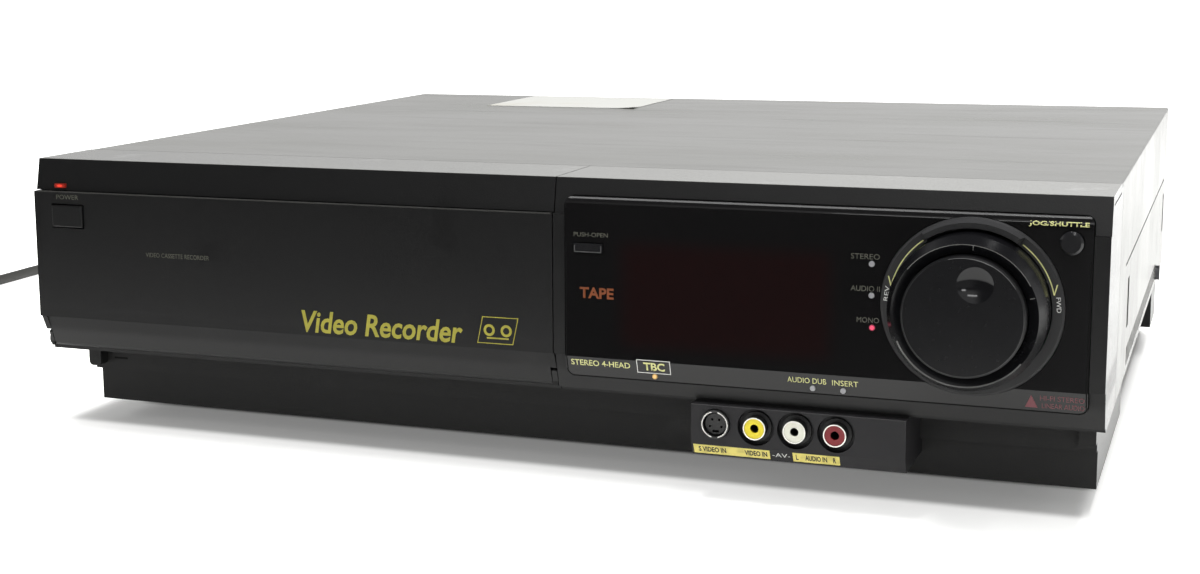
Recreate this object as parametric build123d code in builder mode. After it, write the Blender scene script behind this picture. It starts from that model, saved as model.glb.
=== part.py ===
from build123d import *
import os
from math import asin, atan2, cos, degrees, hypot, pi, radians, sin, tan

os.makedirs("parts", exist_ok=True)

# A front-loading video cassette recorder with an editing dial. Millimetres, +Z up.
# The origin is under the middle of the case, on the surface that the feet stand on.
# The front faces -Y. Depths are counted back from the upper front edge of the bezel.

# ---------------------------------------------------------------- driving dimensions
# case
case_width = 430.0
case_top = 119.0              # upper face of the cover above the table
case_depth = 370.3            # front upper edge of the bezel to the cover's rear edge
left = -case_width / 2
right = case_width / 2
foot_height = 9.6
foot_radius = 11.0
foot_chamfer = 1.2
foot_x = right - 50.0
foot_front = 92.0
foot_rear = case_depth - 40.3
cover_gauge = 1.2             # sheet steel
panel_gauge = 1.6
wall = 2.4                    # moulded plastic
seam = 0.4                    # visible joint between two mouldings
seat = 0.2                    # gap between a fixed piece and the opening it sits in
key_gap = 0.3                 # gap round a key in its hole
running = 0.05                # radial clearance of a journal
lift = 0.4                    # axial clearance under a turning piece

# front profile, from the top down: depth and height of each edge
strip_depth = -2.7            # foot of the slanted strip along the top
plate_depth = -4.7            # ridge, where the main plate stands forward
plate_top = case_top - 13.0
plate_foot_depth = -5.2
plate_foot = 53.0
chin_depth = -3.4             # upper edge of the receding chin
chin_top = 52.6
chin_foot_depth = 0.25
chin_foot = 39.2
lip_depth = 3.25              # recessed lip under the front
lip_foot = 37.6
top_lip = 36.0                # how far the bezel reaches back along the top
side_return = 44.0            # how far it reaches back along the side
split_x = left + 231.6        # right edge of the door and of the left moulding
bezel_back = 30.0
groove_drop = 3.0             # fine line along the end of the top lip
groove_width = 0.6
groove_sink = 0.5

# lower case
skirt_inset = 4.2
skirt_depth = 30.0
skirt_band_depth = 26.0
skirt_band_foot = 24.2
skirt_side_length = 124.0
skirt_side_rake = 6.0         # the side wings lean forward at the foot by this much
skirt_block_width = 6.0
skirt_block_depth = 5.0
skirt_block_foot = 26.4
skirt_block_round = 1.8       # rounding of its lower corners
tray_inset = 19.0
tray_wall = 2.0
flange_height = 2.0
lug_span = (case_depth - 66.3, case_depth - 28.3)
lug_foot = 15.0

# cover pressings
vent_pitch = 7.6
vent_width = 4.4
vent_start = 99.0
vent_count = int((case_depth - 71.3 - vent_start) / vent_pitch) + 1
vent_foot = 40.6
vent_height = 7.4
crease_height = case_top - 36.0
crease_span = (76.0, case_depth - 18.3)
crease_width = 1.0
crease_sink = 0.4
grip_depths = (91.6, case_depth - 21.8)
grip_width = 8.0
grip_foot = 56.5
grip_height = 19.4
screw_head = 3.6
screw_proud = 1.8
screw_shank = 1.5
side_screw_depth = case_depth - 62.3
side_screw_height = 42.1
rear_screw_xs = (left + 35.0, 0.0, right - 35.0)
rear_screw_drop = 12.0
screw_length = 8.0
rear_vent_count = 12
rear_vent_pitch = 8.0
rear_vent_width = 4.0
rear_vent_left = left + 95.0
rear_vent_z = (case_top - 59.0, case_top - 35.0)

# door over the controls and the cassette slot
door_axis_depth = 3.05  # hinge line
door_axis_height = 42.0
door_barrel = 2.8
door_pin = 1.5
door_flange_depth = 0.0
door_notch_top = 46.6         # end cut-outs of the door that clear the hinge lugs
door_hole_gap = 0.5           # round the power key

# panel behind the door
panel_depth = 8.0
slot_left = left + 29.0
slot_width = 192.0
slot_foot = case_top - 49.0
slot_height = 28.0
flap_thickness = 1.6
flap_barrel = 1.8
flap_pin = 1.0
flap_axis_depth = 11.5
flap_axis_drop = 2.0

# power key and transport keys
power_x = left + 16.4
power_z = case_top - 23.25
power_width = 14.8
power_height = 9.1
power_face = -5.7
power_travel = 1.5
power_edge = 0.6              # rounding of its face
key_width = 21.0
key_height = 9.0
key_pitch = 25.0
key_first_x = left + 22.0
key_z = 51.0
key_face = 3.6
key_travel = 1.5
key_flange = 1.5
key_edge = 0.5
key_names = ("eject", "rewind", "stop", "play", "fast_forward", "pause", "record")
level_xs = (split_x - 31.1, split_x - 12.6)
level_z = 53.0
level_radius = 5.6
level_face = 3.6
level_shaft = 2.5
level_edge = 0.6
level_reach = 6.0             # shaft behind the panel
level_mark = (1.0, 0.8)       # width and depth of the pointer slot

# display window
window_left = split_x + 5.1
window_right = right - 5.5
window_foot = 44.5
window_top = case_top - 6.5
window_depth = -5.0
window_thickness = 2.0
window_corner = 3.0
window_edge_depth = -2.6
window_edge_radius = 1.5      # rounding along the top edge
window_lean = 0.15            # how little the face leans back just under it
window_reach = 4.0            # tool length beyond the window's face
board_depth = 12.0
board_gauge = 1.6
display_x = (split_x + 29.4, right - 97.0)
display_z = (case_top - 57.0, case_top - 27.0)
display_depth = 4.0
display_chamfer = 0.8
pipe_radius = 1.0
pipe_gap = 0.15
unlit_pipes = (               # across, height and depth of each tip
    (right - 79.2, case_top - 25.9, -5.3),
    (right - 79.1, case_top - 37.0, -5.3),
    (right - 99.7, 47.0, -4.1),
    (right - 88.8, 46.9, -4.1))
red_pipe = (right - 78.7, case_top - 48.4, -5.3)
amber_pipe = (split_x + 39.7, 46.8, -4.0)
power_lens = (left + 12.0, case_top - 10.9)
power_lens_size = (5.0, 1.6)
lens_proud = 0.7

# editing dial
dial_x = right - 44.84
dial_z = case_top - 39.0
ring_outer = 31.0
ring_inner = 26.9
ring_face = -6.2
ring_back = -1.0
dial_edge = 0.8               # bevel on the edges of the dial's pieces
hood_face = -10.0
hood_half_angle = 34.5
hood_inner = 27.0
hood_inset = 0.5
hood_draft = 12.0             # slope of the hood's flanks, degrees
shuttle_outer = 26.6
shuttle_shoulder = -17.5
shuttle_rim = 24.4
shuttle_face = -22.4
shuttle_bore = 21.0
shuttle_dish = 1.9            # fall of the face from the rim to the bore
shuttle_web = 10.4            # thickness of the ring round the jog dial
jog_radius = 20.6
jog_face = -25.4
jog_back = -19.5
dimple_x = 3.9
dimple_z = 11.2
dimple_radius = 6.1
dimple_sink = 1.6
collar_radius = 9.0
collar_face = -3.6
pin_radius = 3.0
pin_face = -20.5
encoder_radius = 13.0
encoder_depth = 2.0
mode_x = right - 12.5
mode_z = case_top - 15.3
mode_radius = 3.95
mode_face = -8.0
mode_travel = 1.0
stem_radius = 1.5             # of the small buttons
stem_flange = 1.0             # how far and how thick their retaining flanges are
release_x = split_x + 14.4
release_z = case_top - 25.4
release_width = 11.4
release_height = 3.6
release_face = -5.6
release_travel = 1.0

# front jacks
av_left = right - 145.1
av_right = right - 66.5
av_foot = 18.0
av_face = -3.0
av_band_top = 22.9
av_band_depth = -0.5
jack_outer = 4.15
jack_inner = 3.75
jack_pin_hole = 1.6
jack_height = 30.6
jack_xs = (av_left + 24.4, av_left + 39.1, av_left + 53.8)
jack_face = -5.4
jack_recess = 6.8
recess_sink = 3.0
jack_length = 18.0
insert_sink = 0.4
s_video_x = av_left + 9.3
s_video_radius = 5.4
s_video_core = 4.5
s_video_length = 12.0
s_video_mouth = 4.0           # depth of the ring round the contact block
s_video_sink = 1.5            # contact block below the rim
s_video_slack = 0.6
s_video_pins = ((-2.2, -1.0), (2.2, -1.0), (-1.3, 1.6), (1.3, 1.6))
s_video_pin_radius = 0.45
s_video_key = (1.2, 3.2, 2.3)  # half width, lower and upper edge of the key slot below the middle
s_video_front_proud = 1.2
s_video_rear_drop = 4.0

# rear panel
rear_reach = 6.7              # jacks beyond the cover's rear edge
rear_gap = 1.7                # panel behind the cover's rear edge
tuner_x = (right - 87.0, right - 31.0)
rear_jack_xs = (tuner_x[0] - 88.0, tuner_x[0] - 70.0, tuner_x[0] - 52.0)
rear_jack_zs = (case_top - 53.0, case_top - 27.0)
rear_s_video = [(tuner_x[0] - 24.0, z) for z in rear_jack_zs]
jack_flange = 5.4
jack_flange_gauge = 1.2
tuner_z = (case_top - 61.0, case_top - 15.0)
tuner_length = 24.0
aerial_radius = 4.76
aerial_zs = (case_top - 51.0, case_top - 23.0)
aerial_x = right - 59.0
aerial_nut = 7.0
aerial_nut_gauge = 2.0
aerial_bore = 1.0
aerial_bore_depth = 5.0

# deck
deck_height = 44.0
deck_gauge = 2.0
deck_top = deck_height + deck_gauge
deck_x = (left + 17.0, split_x + 5.4)
deck_y = (46.0, case_depth - 70.3)
post_radius = 5.0
reel_spacing = 92.0
deck_middle_x = left + 125.0
reel_y = 90.0
reel_radius = 20.0
reel_hub = 9.0
reel_hub_top = deck_top + 16.0
reel_pin = 2.5
reel_flange = 2.5
reel_spokes = 3
reel_spoke = (3.0, 2.0)       # each spoke straddles the hub's edge
boss_height = 2.0
cassette_width = 188.0
cassette_height = 25.0
cassette_length = 104.0
carriage_gauge = 1.2
carriage_front = 40.0
carriage_foot = case_top - 48.0
carriage_travel = 18.0
carriage_pin = 2.0
carriage_pin_ys = (62.0, 124.0)
carriage_slack = 0.5          # beside and above the cassette
hub_window = 8.0              # opening in the floor beyond the reel hub's radius
roof_opening = (20.0, 12.0)   # frame left round the opening in the carriage's roof
rear_opening = (30.0, 8.0)    # frame left round the opening in its rear wall
side_plate_gap = 3.6
side_plate_gauge = 1.6
side_plate_foot = 6.0
side_plate_y = (48.0, 158.0)
side_plate_top = case_top - 16.0
drum_y = 215.0
drum_radius = 31.0
drum_tilt = 5.0
drum_seat_radius = 22.0
drum_base = deck_top + 4.0
drum_lower = 14.0
drum_upper = 15.0
drum_gap = 0.4
drum_shaft = 3.0
drum_floor = 2.0
drum_recess = (7.0, 23.0, 6.0)  # inner and outer radius and depth of the ring in the top
capstan_x = deck_middle_x + 58.0
capstan_y = 172.0
capstan_radius = 2.0
capstan_top = deck_top + 34.0
motor_radius = 27.0
motor_height = 10.0
flywheel_radius = 26.0
flywheel_height = 4.0
bush_radius = 5.0
bush_top = deck_top + 3.0
pinch_pivot = (deck_middle_x + 90.0, 190.0)
pinch_radius = 8.0
pinch_swing = 28.0
pinch_pressed = (9.5, 4.0)    # roller axis from the capstan when pressed on
pinch_pin = 2.0
arm_pin = 2.5
arm_foot = deck_top + 4.0
arm_gauge = 3.0
pinch_arm_half = 5.0          # half width of the arm
pinch_hub = 6.0
pin_clear = 4.0               # the roller pin ends this far below the capstan's top
roller_drop = 2.0             # and the roller this far below the pin
tension_pivot = (deck_middle_x - 70.0, 168.0)
tension_end = (deck_middle_x - 48.0, 188.0)
tension_pin = 1.5
tension_arm_half = 3.5
tension_arm_z = (deck_top + 3.0, deck_top + 5.0)
tension_hub = 5.0
tension_pin_top = deck_top + 24.0
head_base = ((deck_middle_x + 38.0, deck_middle_x + 50.0), (196.0, 208.0), (deck_top, deck_top + 6.0))
head_stack = ((deck_middle_x + 40.0, deck_middle_x + 47.0), (197.0, 207.0), (deck_top + 6.0, deck_top + 24.0))

# circuit boards
main_board_x = (split_x + 17.4, right - 25.0)
main_board_y = (50.0, case_depth - 20.3)
supply_x = (left + 25.0, left + 165.0)
supply_y = (case_depth - 64.3, case_depth - 10.3)
standoff = 3.0
main_board_blocks = (         # across, depth and height of the tall parts: can, two chips, connectors
    ((main_board_x[0] + 16.0, main_board_x[0] + 84.0), (70.0, 150.0), 16.0),
    ((main_board_x[0] + 26.0, main_board_x[0] + 66.0), (180.0, 220.0), 4.0),
    ((main_board_x[0] + 86.0, main_board_x[0] + 116.0), (240.0, 270.0), 4.0),
    ((main_board_x[0] + 18.0, main_board_x[0] + 138.0), (main_board_y[1] - 20.0, main_board_y[1] - 8.0),
     12.0))
capacitor_xs = [main_board_x[1] - 52.0 + 10.0 * i for i in range(5)]
capacitor_rows = ((84.0, 12.0), (124.0, 16.0))   # depth and height of each row
capacitor_radius = 4.0
transformer = ((supply_x[0] + 8.0, supply_x[0] + 52.0), (supply_y[0] + 6.0, supply_y[1] - 6.0), 20.0)
heat_sink_xs = [supply_x[0] + 64.0 + 6.0 * i for i in range(6)]
heat_sink_fin = 2.0
heat_sink_span = (supply_y[0] + 8.0, supply_y[1] - 8.0)
heat_sink_height = 18.0
reservoir_xs = (supply_x[1] - 34.0, supply_x[1] - 14.0)
reservoir = (supply_y[0] + 20.0, 19.0, 8.0)   # depth, height and radius of the reservoir capacitors

# mains lead
cord_diameter = 6.0
cord_exit_x = left + 45.0
cord_exit_z = 52.0
relief_length = 30.0
coil_turn_radius = 33.0
coil_turns = 6
plug_diameter = 18.0
plug_length = 34.0
blade_width = 6.35
blade_gauge = 1.5
blade_length = 17.0
blade_pitch = 12.7
plug_edge = 4.0               # rounding of the plug's body
plug_neck = 10.0
plug_side = 0.7               # half width of the body over its height
relief_collar = 2.5
bend_share = 0.45             # part of the shorter leg that each bend of the lead uses up

# ---------------------------------------------------------------- values that follow
half = case_width / 2
front_y = -(case_depth + rear_reach + jog_face) / 2
tray_half = half - tray_inset
tray_top = lip_foot
skirt_half = half - skirt_inset
panel_rear = case_depth - rear_gap
panel_front = panel_rear - panel_gauge
cover_inner = half - cover_gauge
slot_right = slot_left + slot_width
slot_top = slot_foot + slot_height
panel_left = -half + wall
panel_right = split_x - wall
right_start = split_x + seam


def block(x_span, depth_span, z_span, mode=Mode.ADD):
    """Box between limits, its depth counted back from the bezel's front edge."""
    spans = (x_span, depth_span, z_span)
    x, depth, z = [(low + high) / 2 for low, high in spans]
    with Locations((x, front_y + depth, z)):
        Box(*[high - low for low, high in spans], mode=mode)


def post(x, depth, z_span, radius, mode=Mode.ADD):
    """Upright cylinder."""
    with Locations((x, front_y + depth, z_span[0])):
        Cylinder(radius, z_span[1] - z_span[0], align=(Align.CENTER, Align.CENTER, Align.MIN), mode=mode)


def spindle(x, depth_span, z, radius, mode=Mode.ADD):
    """Cylinder that points front to back."""
    with Locations((x, front_y + sum(depth_span) / 2, z)):
        Cylinder(radius, depth_span[1] - depth_span[0], rotation=(90, 0, 0), mode=mode)


def cross_pin(x_span, depth, z, radius, mode=Mode.ADD):
    """Cylinder that points left to right."""
    with Locations((sum(x_span) / 2, front_y + depth, z)):
        Cylinder(radius, x_span[1] - x_span[0], rotation=(0, 90, 0), mode=mode)


def side_prism(points, x_span, mode=Mode.ADD):
    """Outline of depths and heights, drawn from the side and extruded across."""
    with BuildSketch(Plane.YZ.offset(x_span[0])) as outline:
        with BuildLine():
            Polyline(*[(front_y + depth, z) for depth, z in points], close=True)
        make_face()
    extrude(outline.sketch, amount=x_span[1] - x_span[0], mode=mode)


def front_plane(depth):
    """Plane that faces the front; an extrusion from it comes forward."""
    return Plane.XZ.offset(-(front_y + depth))


def turned(x, z, profile):
    """Solid of revolution about a front-to-back axis, from radii and depths."""
    plane = Plane(origin=(x, front_y, z), x_dir=(1, 0, 0), z_dir=(0, 0, 1))
    with BuildSketch(plane) as section:
        with BuildLine():
            Polyline(*profile, close=True)
        make_face()
    revolve(section.sketch, axis=Axis((x, front_y, z), (0, 1, 0)))


# ---------------------------------------------------------------- lower case
with BuildPart() as base_tray:
    block((-tray_half, tray_half), (skirt_depth + wall, panel_front), (foot_height, tray_top))
    block((-cover_inner + seat, cover_inner - seat), (side_return + wall, panel_front),
          (tray_top, tray_top + flange_height))
    block((-tray_half + tray_wall, tray_half - tray_wall),
          (skirt_depth + wall + tray_wall, panel_front - tray_wall),
          (foot_height + tray_wall, tray_top + flange_height), mode=Mode.SUBTRACT)
    for side in (-1, 1):
        lug = sorted((side * tray_half, side * (cover_inner - seat)))
        block(lug, lug_span, (lug_foot, tray_top))
    for x in (deck_x[0] + 2 * post_radius, deck_x[1] - 2 * post_radius):
        for depth in (deck_y[0] + 2 * post_radius, deck_y[1] - 2 * post_radius):
            post(x, depth, (foot_height + tray_wall, deck_height), post_radius)
    for xs, ys in ((main_board_x, main_board_y), (supply_x, supply_y)):
        for x in (xs[0] + 2 * standoff, xs[1] - 2 * standoff):
            for depth in (ys[0] + 2 * standoff, ys[1] - 2 * standoff):
                post(x, depth, (foot_height + tray_wall, foot_height + tray_wall + standoff), standoff)
base_tray.part.label = "base_tray"
export_step(base_tray.part, "parts/base_tray.step")

with BuildPart() as feet:
    for x in (-foot_x, foot_x):
        for depth in (foot_front, foot_rear):
            post(x, depth, (0, foot_height), foot_radius)
    chamfer(feet.edges().filter_by(GeomType.CIRCLE).group_by(Axis.Z)[0], foot_chamfer)
feet.part.label = "feet"
export_step(feet.part, "parts/feet.step")

with BuildPart() as front_skirt:
    side_prism(((skirt_band_depth, lip_foot), (skirt_band_depth, skirt_band_foot),
                (skirt_depth, skirt_band_foot), (skirt_depth, foot_height),
                (skirt_depth + wall, foot_height), (skirt_depth + wall, skirt_band_foot + wall),
                (skirt_band_depth + wall, skirt_band_foot + wall), (skirt_band_depth + wall, lip_foot)),
               (-skirt_half, skirt_half))
    for side in (-1, 1):
        wing = sorted((side * (skirt_half - wall), side * skirt_half))
        side_prism(((skirt_band_depth, lip_foot), (skirt_band_depth, skirt_band_foot),
                    (skirt_depth, skirt_band_foot), (skirt_depth, foot_height),
                    (skirt_band_depth + skirt_side_length - skirt_side_rake, foot_height),
                    (skirt_band_depth + skirt_side_length, lip_foot)), wing)
        corner = sorted((side * (skirt_half - skirt_block_width), side * skirt_half))
        block(corner, (skirt_band_depth - skirt_block_depth, skirt_band_depth), (skirt_block_foot, lip_foot))
        fillet(front_skirt.edges(Select.LAST).filter_by(Axis.Y).group_by(Axis.Z)[0], skirt_block_round)
front_skirt.part.label = "front_skirt"
export_step(front_skirt.part, "parts/front_skirt.step")

# ---------------------------------------------------------------- cover and rear panel
with BuildPart() as top_cover:
    block((-half, half), (top_lip + seam, case_depth), (lip_foot + seat, case_top))
    fillet(top_cover.edges().filter_by(Axis.Y).group_by(Axis.Z)[-1], cover_gauge)
    block((-cover_inner, cover_inner), (top_lip, case_depth + 1), (0, case_top - cover_gauge),
          mode=Mode.SUBTRACT)
    block((-half, half), (top_lip, side_return + seam), (0, case_top - cover_gauge), mode=Mode.SUBTRACT)
    for side in (-1, 1):
        skin = sorted((side * (cover_inner - 1), side * (half + 1)))
        for i in range(vent_count):
            middle = vent_start + i * vent_pitch
            block(skin, (middle - vent_width / 2, middle + vent_width / 2),
                  (vent_foot, vent_foot + vent_height), mode=Mode.SUBTRACT)
        for depth in grip_depths:
            block(skin, (depth, depth + grip_width), (grip_foot, grip_foot + grip_height),
                  mode=Mode.SUBTRACT)
        pressed = sorted((side * (half - crease_sink), side * (half + 1)))
        block(pressed, crease_span, (crease_height, crease_height + crease_width), mode=Mode.SUBTRACT)
        cross_pin(skin, side_screw_depth, side_screw_height, screw_shank + running, mode=Mode.SUBTRACT)
top_cover.part.label = "top_cover"
export_step(top_cover.part, "parts/top_cover.step")

with BuildPart() as cover_screws:
    for side in (-1, 1):
        cross_pin(sorted((side * half, side * (half + screw_proud))), side_screw_depth, side_screw_height,
                  screw_head)
        cross_pin(sorted((side * (half - screw_length), side * half)), side_screw_depth, side_screw_height,
                  screw_shank)
    for x in rear_screw_xs:
        spindle(x, (panel_rear, panel_rear + screw_proud), case_top - rear_screw_drop, screw_head)
        spindle(x, (panel_rear - screw_length, panel_rear), case_top - rear_screw_drop, screw_shank)
cover_screws.part.label = "cover_screws"
export_step(cover_screws.part, "parts/cover_screws.step")

with BuildPart() as rear_panel:
    block((-cover_inner + seat, cover_inner - seat), (panel_front, panel_rear),
          (tray_top, case_top - cover_gauge - seat))
    block((-tray_half, tray_half), (panel_front, panel_rear), (foot_height, tray_top))
    through = (panel_front - 1, panel_rear + 1)
    for x in rear_jack_xs:
        for z in rear_jack_zs:
            spindle(x, through, z, jack_outer + seat, mode=Mode.SUBTRACT)
    for x, z in rear_s_video:
        spindle(x, through, z, s_video_radius + seat, mode=Mode.SUBTRACT)
    for z in aerial_zs:
        spindle(aerial_x, through, z, aerial_radius + seat, mode=Mode.SUBTRACT)
    for x in rear_screw_xs:
        spindle(x, through, case_top - rear_screw_drop, screw_shank + running, mode=Mode.SUBTRACT)
    spindle(cord_exit_x, through, cord_exit_z, cord_diameter + seat, mode=Mode.SUBTRACT)
    for i in range(rear_vent_count):
        left = rear_vent_left + i * rear_vent_pitch
        block((left, left + rear_vent_width), through, rear_vent_z, mode=Mode.SUBTRACT)
rear_panel.part.label = "rear_panel"
export_step(rear_panel.part, "parts/rear_panel.step")

# ---------------------------------------------------------------- front mouldings
strip_points = ((top_lip, case_top), (0, case_top), (strip_depth, plate_top + seat),
                (strip_depth + wall, plate_top + seat), (wall, case_top - wall), (top_lip, case_top - wall))


def side_wall(x_span, notched):
    """Upright return of a front moulding, stepped down under the cover's edge."""
    front = lip_depth if notched else chin_foot_depth
    side_prism(((front, lip_foot), (side_return, lip_foot), (side_return, case_top - cover_gauge - seat),
                (top_lip, case_top - cover_gauge - seat), (top_lip, case_top - wall / 2),
                (front, case_top - wall / 2)), x_span)


def lip_groove(side):
    """Fine line pressed into the end of the top lip, on the left (-1) or right (1)."""
    span = sorted((side * (half - groove_sink), side * (half + 1)))
    block(span, (groove_drop, top_lip), (case_top - groove_drop - groove_width, case_top - groove_drop),
          mode=Mode.SUBTRACT)


with BuildPart() as bezel_left:
    side_prism(strip_points, (-half, split_x))
    for span in ((-half, panel_left), (panel_right, split_x)):
        side_wall(span, True)
        cross_pin(span, door_axis_depth, door_axis_height, door_barrel)
    block((-half, split_x), (lip_depth, bezel_back), (lip_foot, chin_foot - seat))
    cross_pin((-half - 1, split_x + 1), door_axis_depth, door_axis_height, door_pin + running,
              mode=Mode.SUBTRACT)
    lens_half = [size / 2 + seat / 2 for size in power_lens_size]
    block((power_lens[0] - lens_half[0], power_lens[0] + lens_half[0]), (strip_depth - 2, 3),
          (power_lens[1] - lens_half[1], power_lens[1] + lens_half[1]), mode=Mode.SUBTRACT)
    lip_groove(-1)
bezel_left.part.label = "bezel_left"
export_step(bezel_left.part, "parts/bezel_left.step")

right_points = ((top_lip, case_top), (0, case_top), (strip_depth, plate_top), (plate_depth, plate_top),
                (plate_foot_depth, plate_foot), (chin_depth, chin_top), (chin_foot_depth, chin_foot),
                (lip_depth, chin_foot), (lip_depth, lip_foot), (bezel_back, lip_foot))
right_inner = ((wall, case_top - wall), (plate_depth + wall, plate_top - wall),
               (plate_foot_depth + wall, plate_foot), (lip_depth + wall, chin_foot),
               (bezel_back + 1, chin_foot), (bezel_back + 1, case_top - wall))

with BuildPart() as bezel_right:
    side_prism((*right_points, (bezel_back, case_top - wall), (top_lip, case_top - wall)),
               (right_start, half))
    side_prism(right_inner, (right_start + wall, half - wall), mode=Mode.SUBTRACT)
    for span in ((right_start, right_start + wall), (half - wall, half)):
        side_prism(((bezel_back - 1, lip_foot), (side_return, lip_foot),
                    (side_return, case_top - cover_gauge - seat), (top_lip, case_top - cover_gauge - seat),
                    (top_lip, case_top), (bezel_back - 1, case_top)), span)
    with BuildSketch(front_plane(board_depth)):
        with Locations(((window_left + window_right) / 2, (window_foot + window_top) / 2)):
            RectangleRounded(window_right - window_left + 2 * seat, window_top - window_foot + 2 * seat,
                             window_corner + seat)
    extrude(amount=board_depth - window_depth + window_reach, mode=Mode.SUBTRACT)
    lip_groove(1)
bezel_right.part.label = "bezel_right"
export_step(bezel_right.part, "parts/bezel_right.step")

# ---------------------------------------------------------------- display window and its board
window_back = window_depth + window_thickness
window_points = ((window_edge_depth, window_top), (window_depth + window_lean, window_top - 1.9),
                 (window_depth, window_top - 4.5), (window_depth - 0.4, chin_top),
                 (window_edge_depth - 0.3, window_foot), (window_edge_depth + window_thickness, window_foot),
                 (window_back - 0.4, chin_top + 0.6), (window_back, window_top - 4.5),
                 (window_edge_depth + window_thickness, window_top))

with BuildPart() as display_window:
    side_prism(window_points, (window_left, window_right))
    fillet(display_window.edges().filter_by(Axis.X).group_by(Axis.Z)[-2], window_edge_radius)
    with BuildSketch(front_plane(board_depth)):
        with Locations(((window_left + window_right) / 2, (window_foot + window_top) / 2)):
            RectangleRounded(window_right - window_left, window_top - window_foot, window_corner)
    extrude(amount=board_depth - window_depth + window_reach, mode=Mode.INTERSECT)
    clear = (window_depth - window_reach, board_depth)
    spindle(dial_x, clear, dial_z, ring_outer + seat, mode=Mode.SUBTRACT)
    spindle(mode_x, clear, mode_z, mode_radius + key_gap, mode=Mode.SUBTRACT)
    block((release_x - release_width / 2 - key_gap, release_x + release_width / 2 + key_gap), clear,
          (release_z - release_height / 2 - key_gap, release_z + release_height / 2 + key_gap),
          mode=Mode.SUBTRACT)
    for x, z, _ in (*unlit_pipes, red_pipe, amber_pipe):
        spindle(x, clear, z, pipe_radius + pipe_gap, mode=Mode.SUBTRACT)
display_window.part.label = "display_window"
export_step(display_window.part, "parts/display_window.step")

with BuildPart() as display_board:
    block((right_start + wall, half - wall), (board_depth, board_depth + board_gauge),
          (chin_foot + wall, case_top - 2 * wall))
display_board.part.label = "display_board"
export_step(display_board.part, "parts/display_board.step")

with BuildPart() as fluorescent_display:
    block(display_x, (display_depth, board_depth), display_z)
    chamfer(fluorescent_display.edges().filter_by(Axis.X).group_by(Axis.Y)[0], display_chamfer)
fluorescent_display.part.label = "fluorescent_display"
export_step(fluorescent_display.part, "parts/fluorescent_display.step")


def light_pipe(x, z, face):
    """Clear rod that carries a lamp's light from the board to the window's face."""
    spindle(x, (face, board_depth), z, pipe_radius)


with BuildPart() as unlit_pipes_part:
    for x, z, face in unlit_pipes:
        light_pipe(x, z, face)
unlit_pipes_part.part.label = "unlit_light_pipes"
export_step(unlit_pipes_part.part, "parts/unlit_light_pipes.step")

with BuildPart() as red_light_pipe:
    light_pipe(*red_pipe)
red_light_pipe.part.label = "red_light_pipe"
export_step(red_light_pipe.part, "parts/red_light_pipe.step")

with BuildPart() as amber_light_pipe:
    light_pipe(*amber_pipe)
amber_light_pipe.part.label = "amber_light_pipe"
export_step(amber_light_pipe.part, "parts/amber_light_pipe.step")

with BuildPart() as power_lamp:
    block((power_lens[0] - power_lens_size[0] / 2, power_lens[0] + power_lens_size[0] / 2),
          (strip_depth - lens_proud, wall),
          (power_lens[1] - power_lens_size[1] / 2, power_lens[1] + power_lens_size[1] / 2))
power_lamp.part.label = "power_lamp"
export_step(power_lamp.part, "parts/power_lamp.step")

# ---------------------------------------------------------------- editing dial
with BuildPart() as dial_surround:
    turned(dial_x, dial_z, (
        (ring_inner, ring_back), (ring_outer, ring_back), (ring_outer, ring_face + dial_edge),
        (ring_outer - dial_edge, ring_face), (ring_inner, ring_face)))
    with BuildSketch(front_plane(ring_face)):
        with BuildLine():
            start, finish = radians(90 - hood_half_angle), radians(90 + hood_half_angle)
            edges = [[(dial_x + r * cos(a), dial_z + r * sin(a)) for a in (start, pi / 2, finish)]
                     for r in (ring_outer - hood_inset, hood_inner)]
            ThreePointArc(*edges[0])
            Line(edges[0][2], edges[1][2])
            ThreePointArc(*edges[1])
            Line(edges[1][0], edges[0][0])
        make_face()
    extrude(amount=ring_face - hood_face, taper=hood_draft)
dial_surround.part.label = "dial_surround"
export_step(dial_surround.part, "parts/dial_surround.step")

with BuildPart() as shuttle_ring:
    turned(dial_x, dial_z, (
        (collar_radius + running, ring_back), (shuttle_outer, ring_back), (shuttle_outer, shuttle_shoulder),
        (shuttle_rim, shuttle_face), (shuttle_bore, shuttle_face + shuttle_dish),
        (shuttle_bore, shuttle_face + shuttle_web),
        (shuttle_outer - wall, shuttle_face + shuttle_web), (shuttle_outer - wall, ring_back - wall),
        (collar_radius + running, ring_back - wall)))
shuttle_ring.part.label = "shuttle_ring"
export_step(shuttle_ring.part, "parts/shuttle_ring.step")

with BuildPart() as jog_dial:
    turned(dial_x, dial_z, (
        (0, jog_face), (jog_radius - dial_edge, jog_face), (jog_radius, jog_face + dial_edge),
        (jog_radius, jog_back),
        (2 * pin_radius, jog_back), (2 * pin_radius, collar_face - 1.4),
        (pin_radius + running, collar_face - 1.4), (pin_radius + running, pin_face - lift),
        (0, pin_face - lift)))
    ball = (dimple_radius ** 2 + dimple_sink ** 2) / (2 * dimple_sink)
    with Locations((dial_x + dimple_x, front_y + jog_face + dimple_sink - ball, dial_z + dimple_z)):
        Sphere(ball, mode=Mode.SUBTRACT)
jog_dial.part.label = "jog_dial"
export_step(jog_dial.part, "parts/jog_dial.step")

with BuildPart() as dial_encoder:
    turned(dial_x, dial_z, (
        (0, board_depth), (encoder_radius, board_depth), (encoder_radius, encoder_depth),
        (collar_radius, encoder_depth), (collar_radius, collar_face), (pin_radius, collar_face),
        (pin_radius, pin_face), (0, pin_face)))
dial_encoder.part.label = "dial_encoder"
export_step(dial_encoder.part, "parts/dial_encoder.step")

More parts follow.
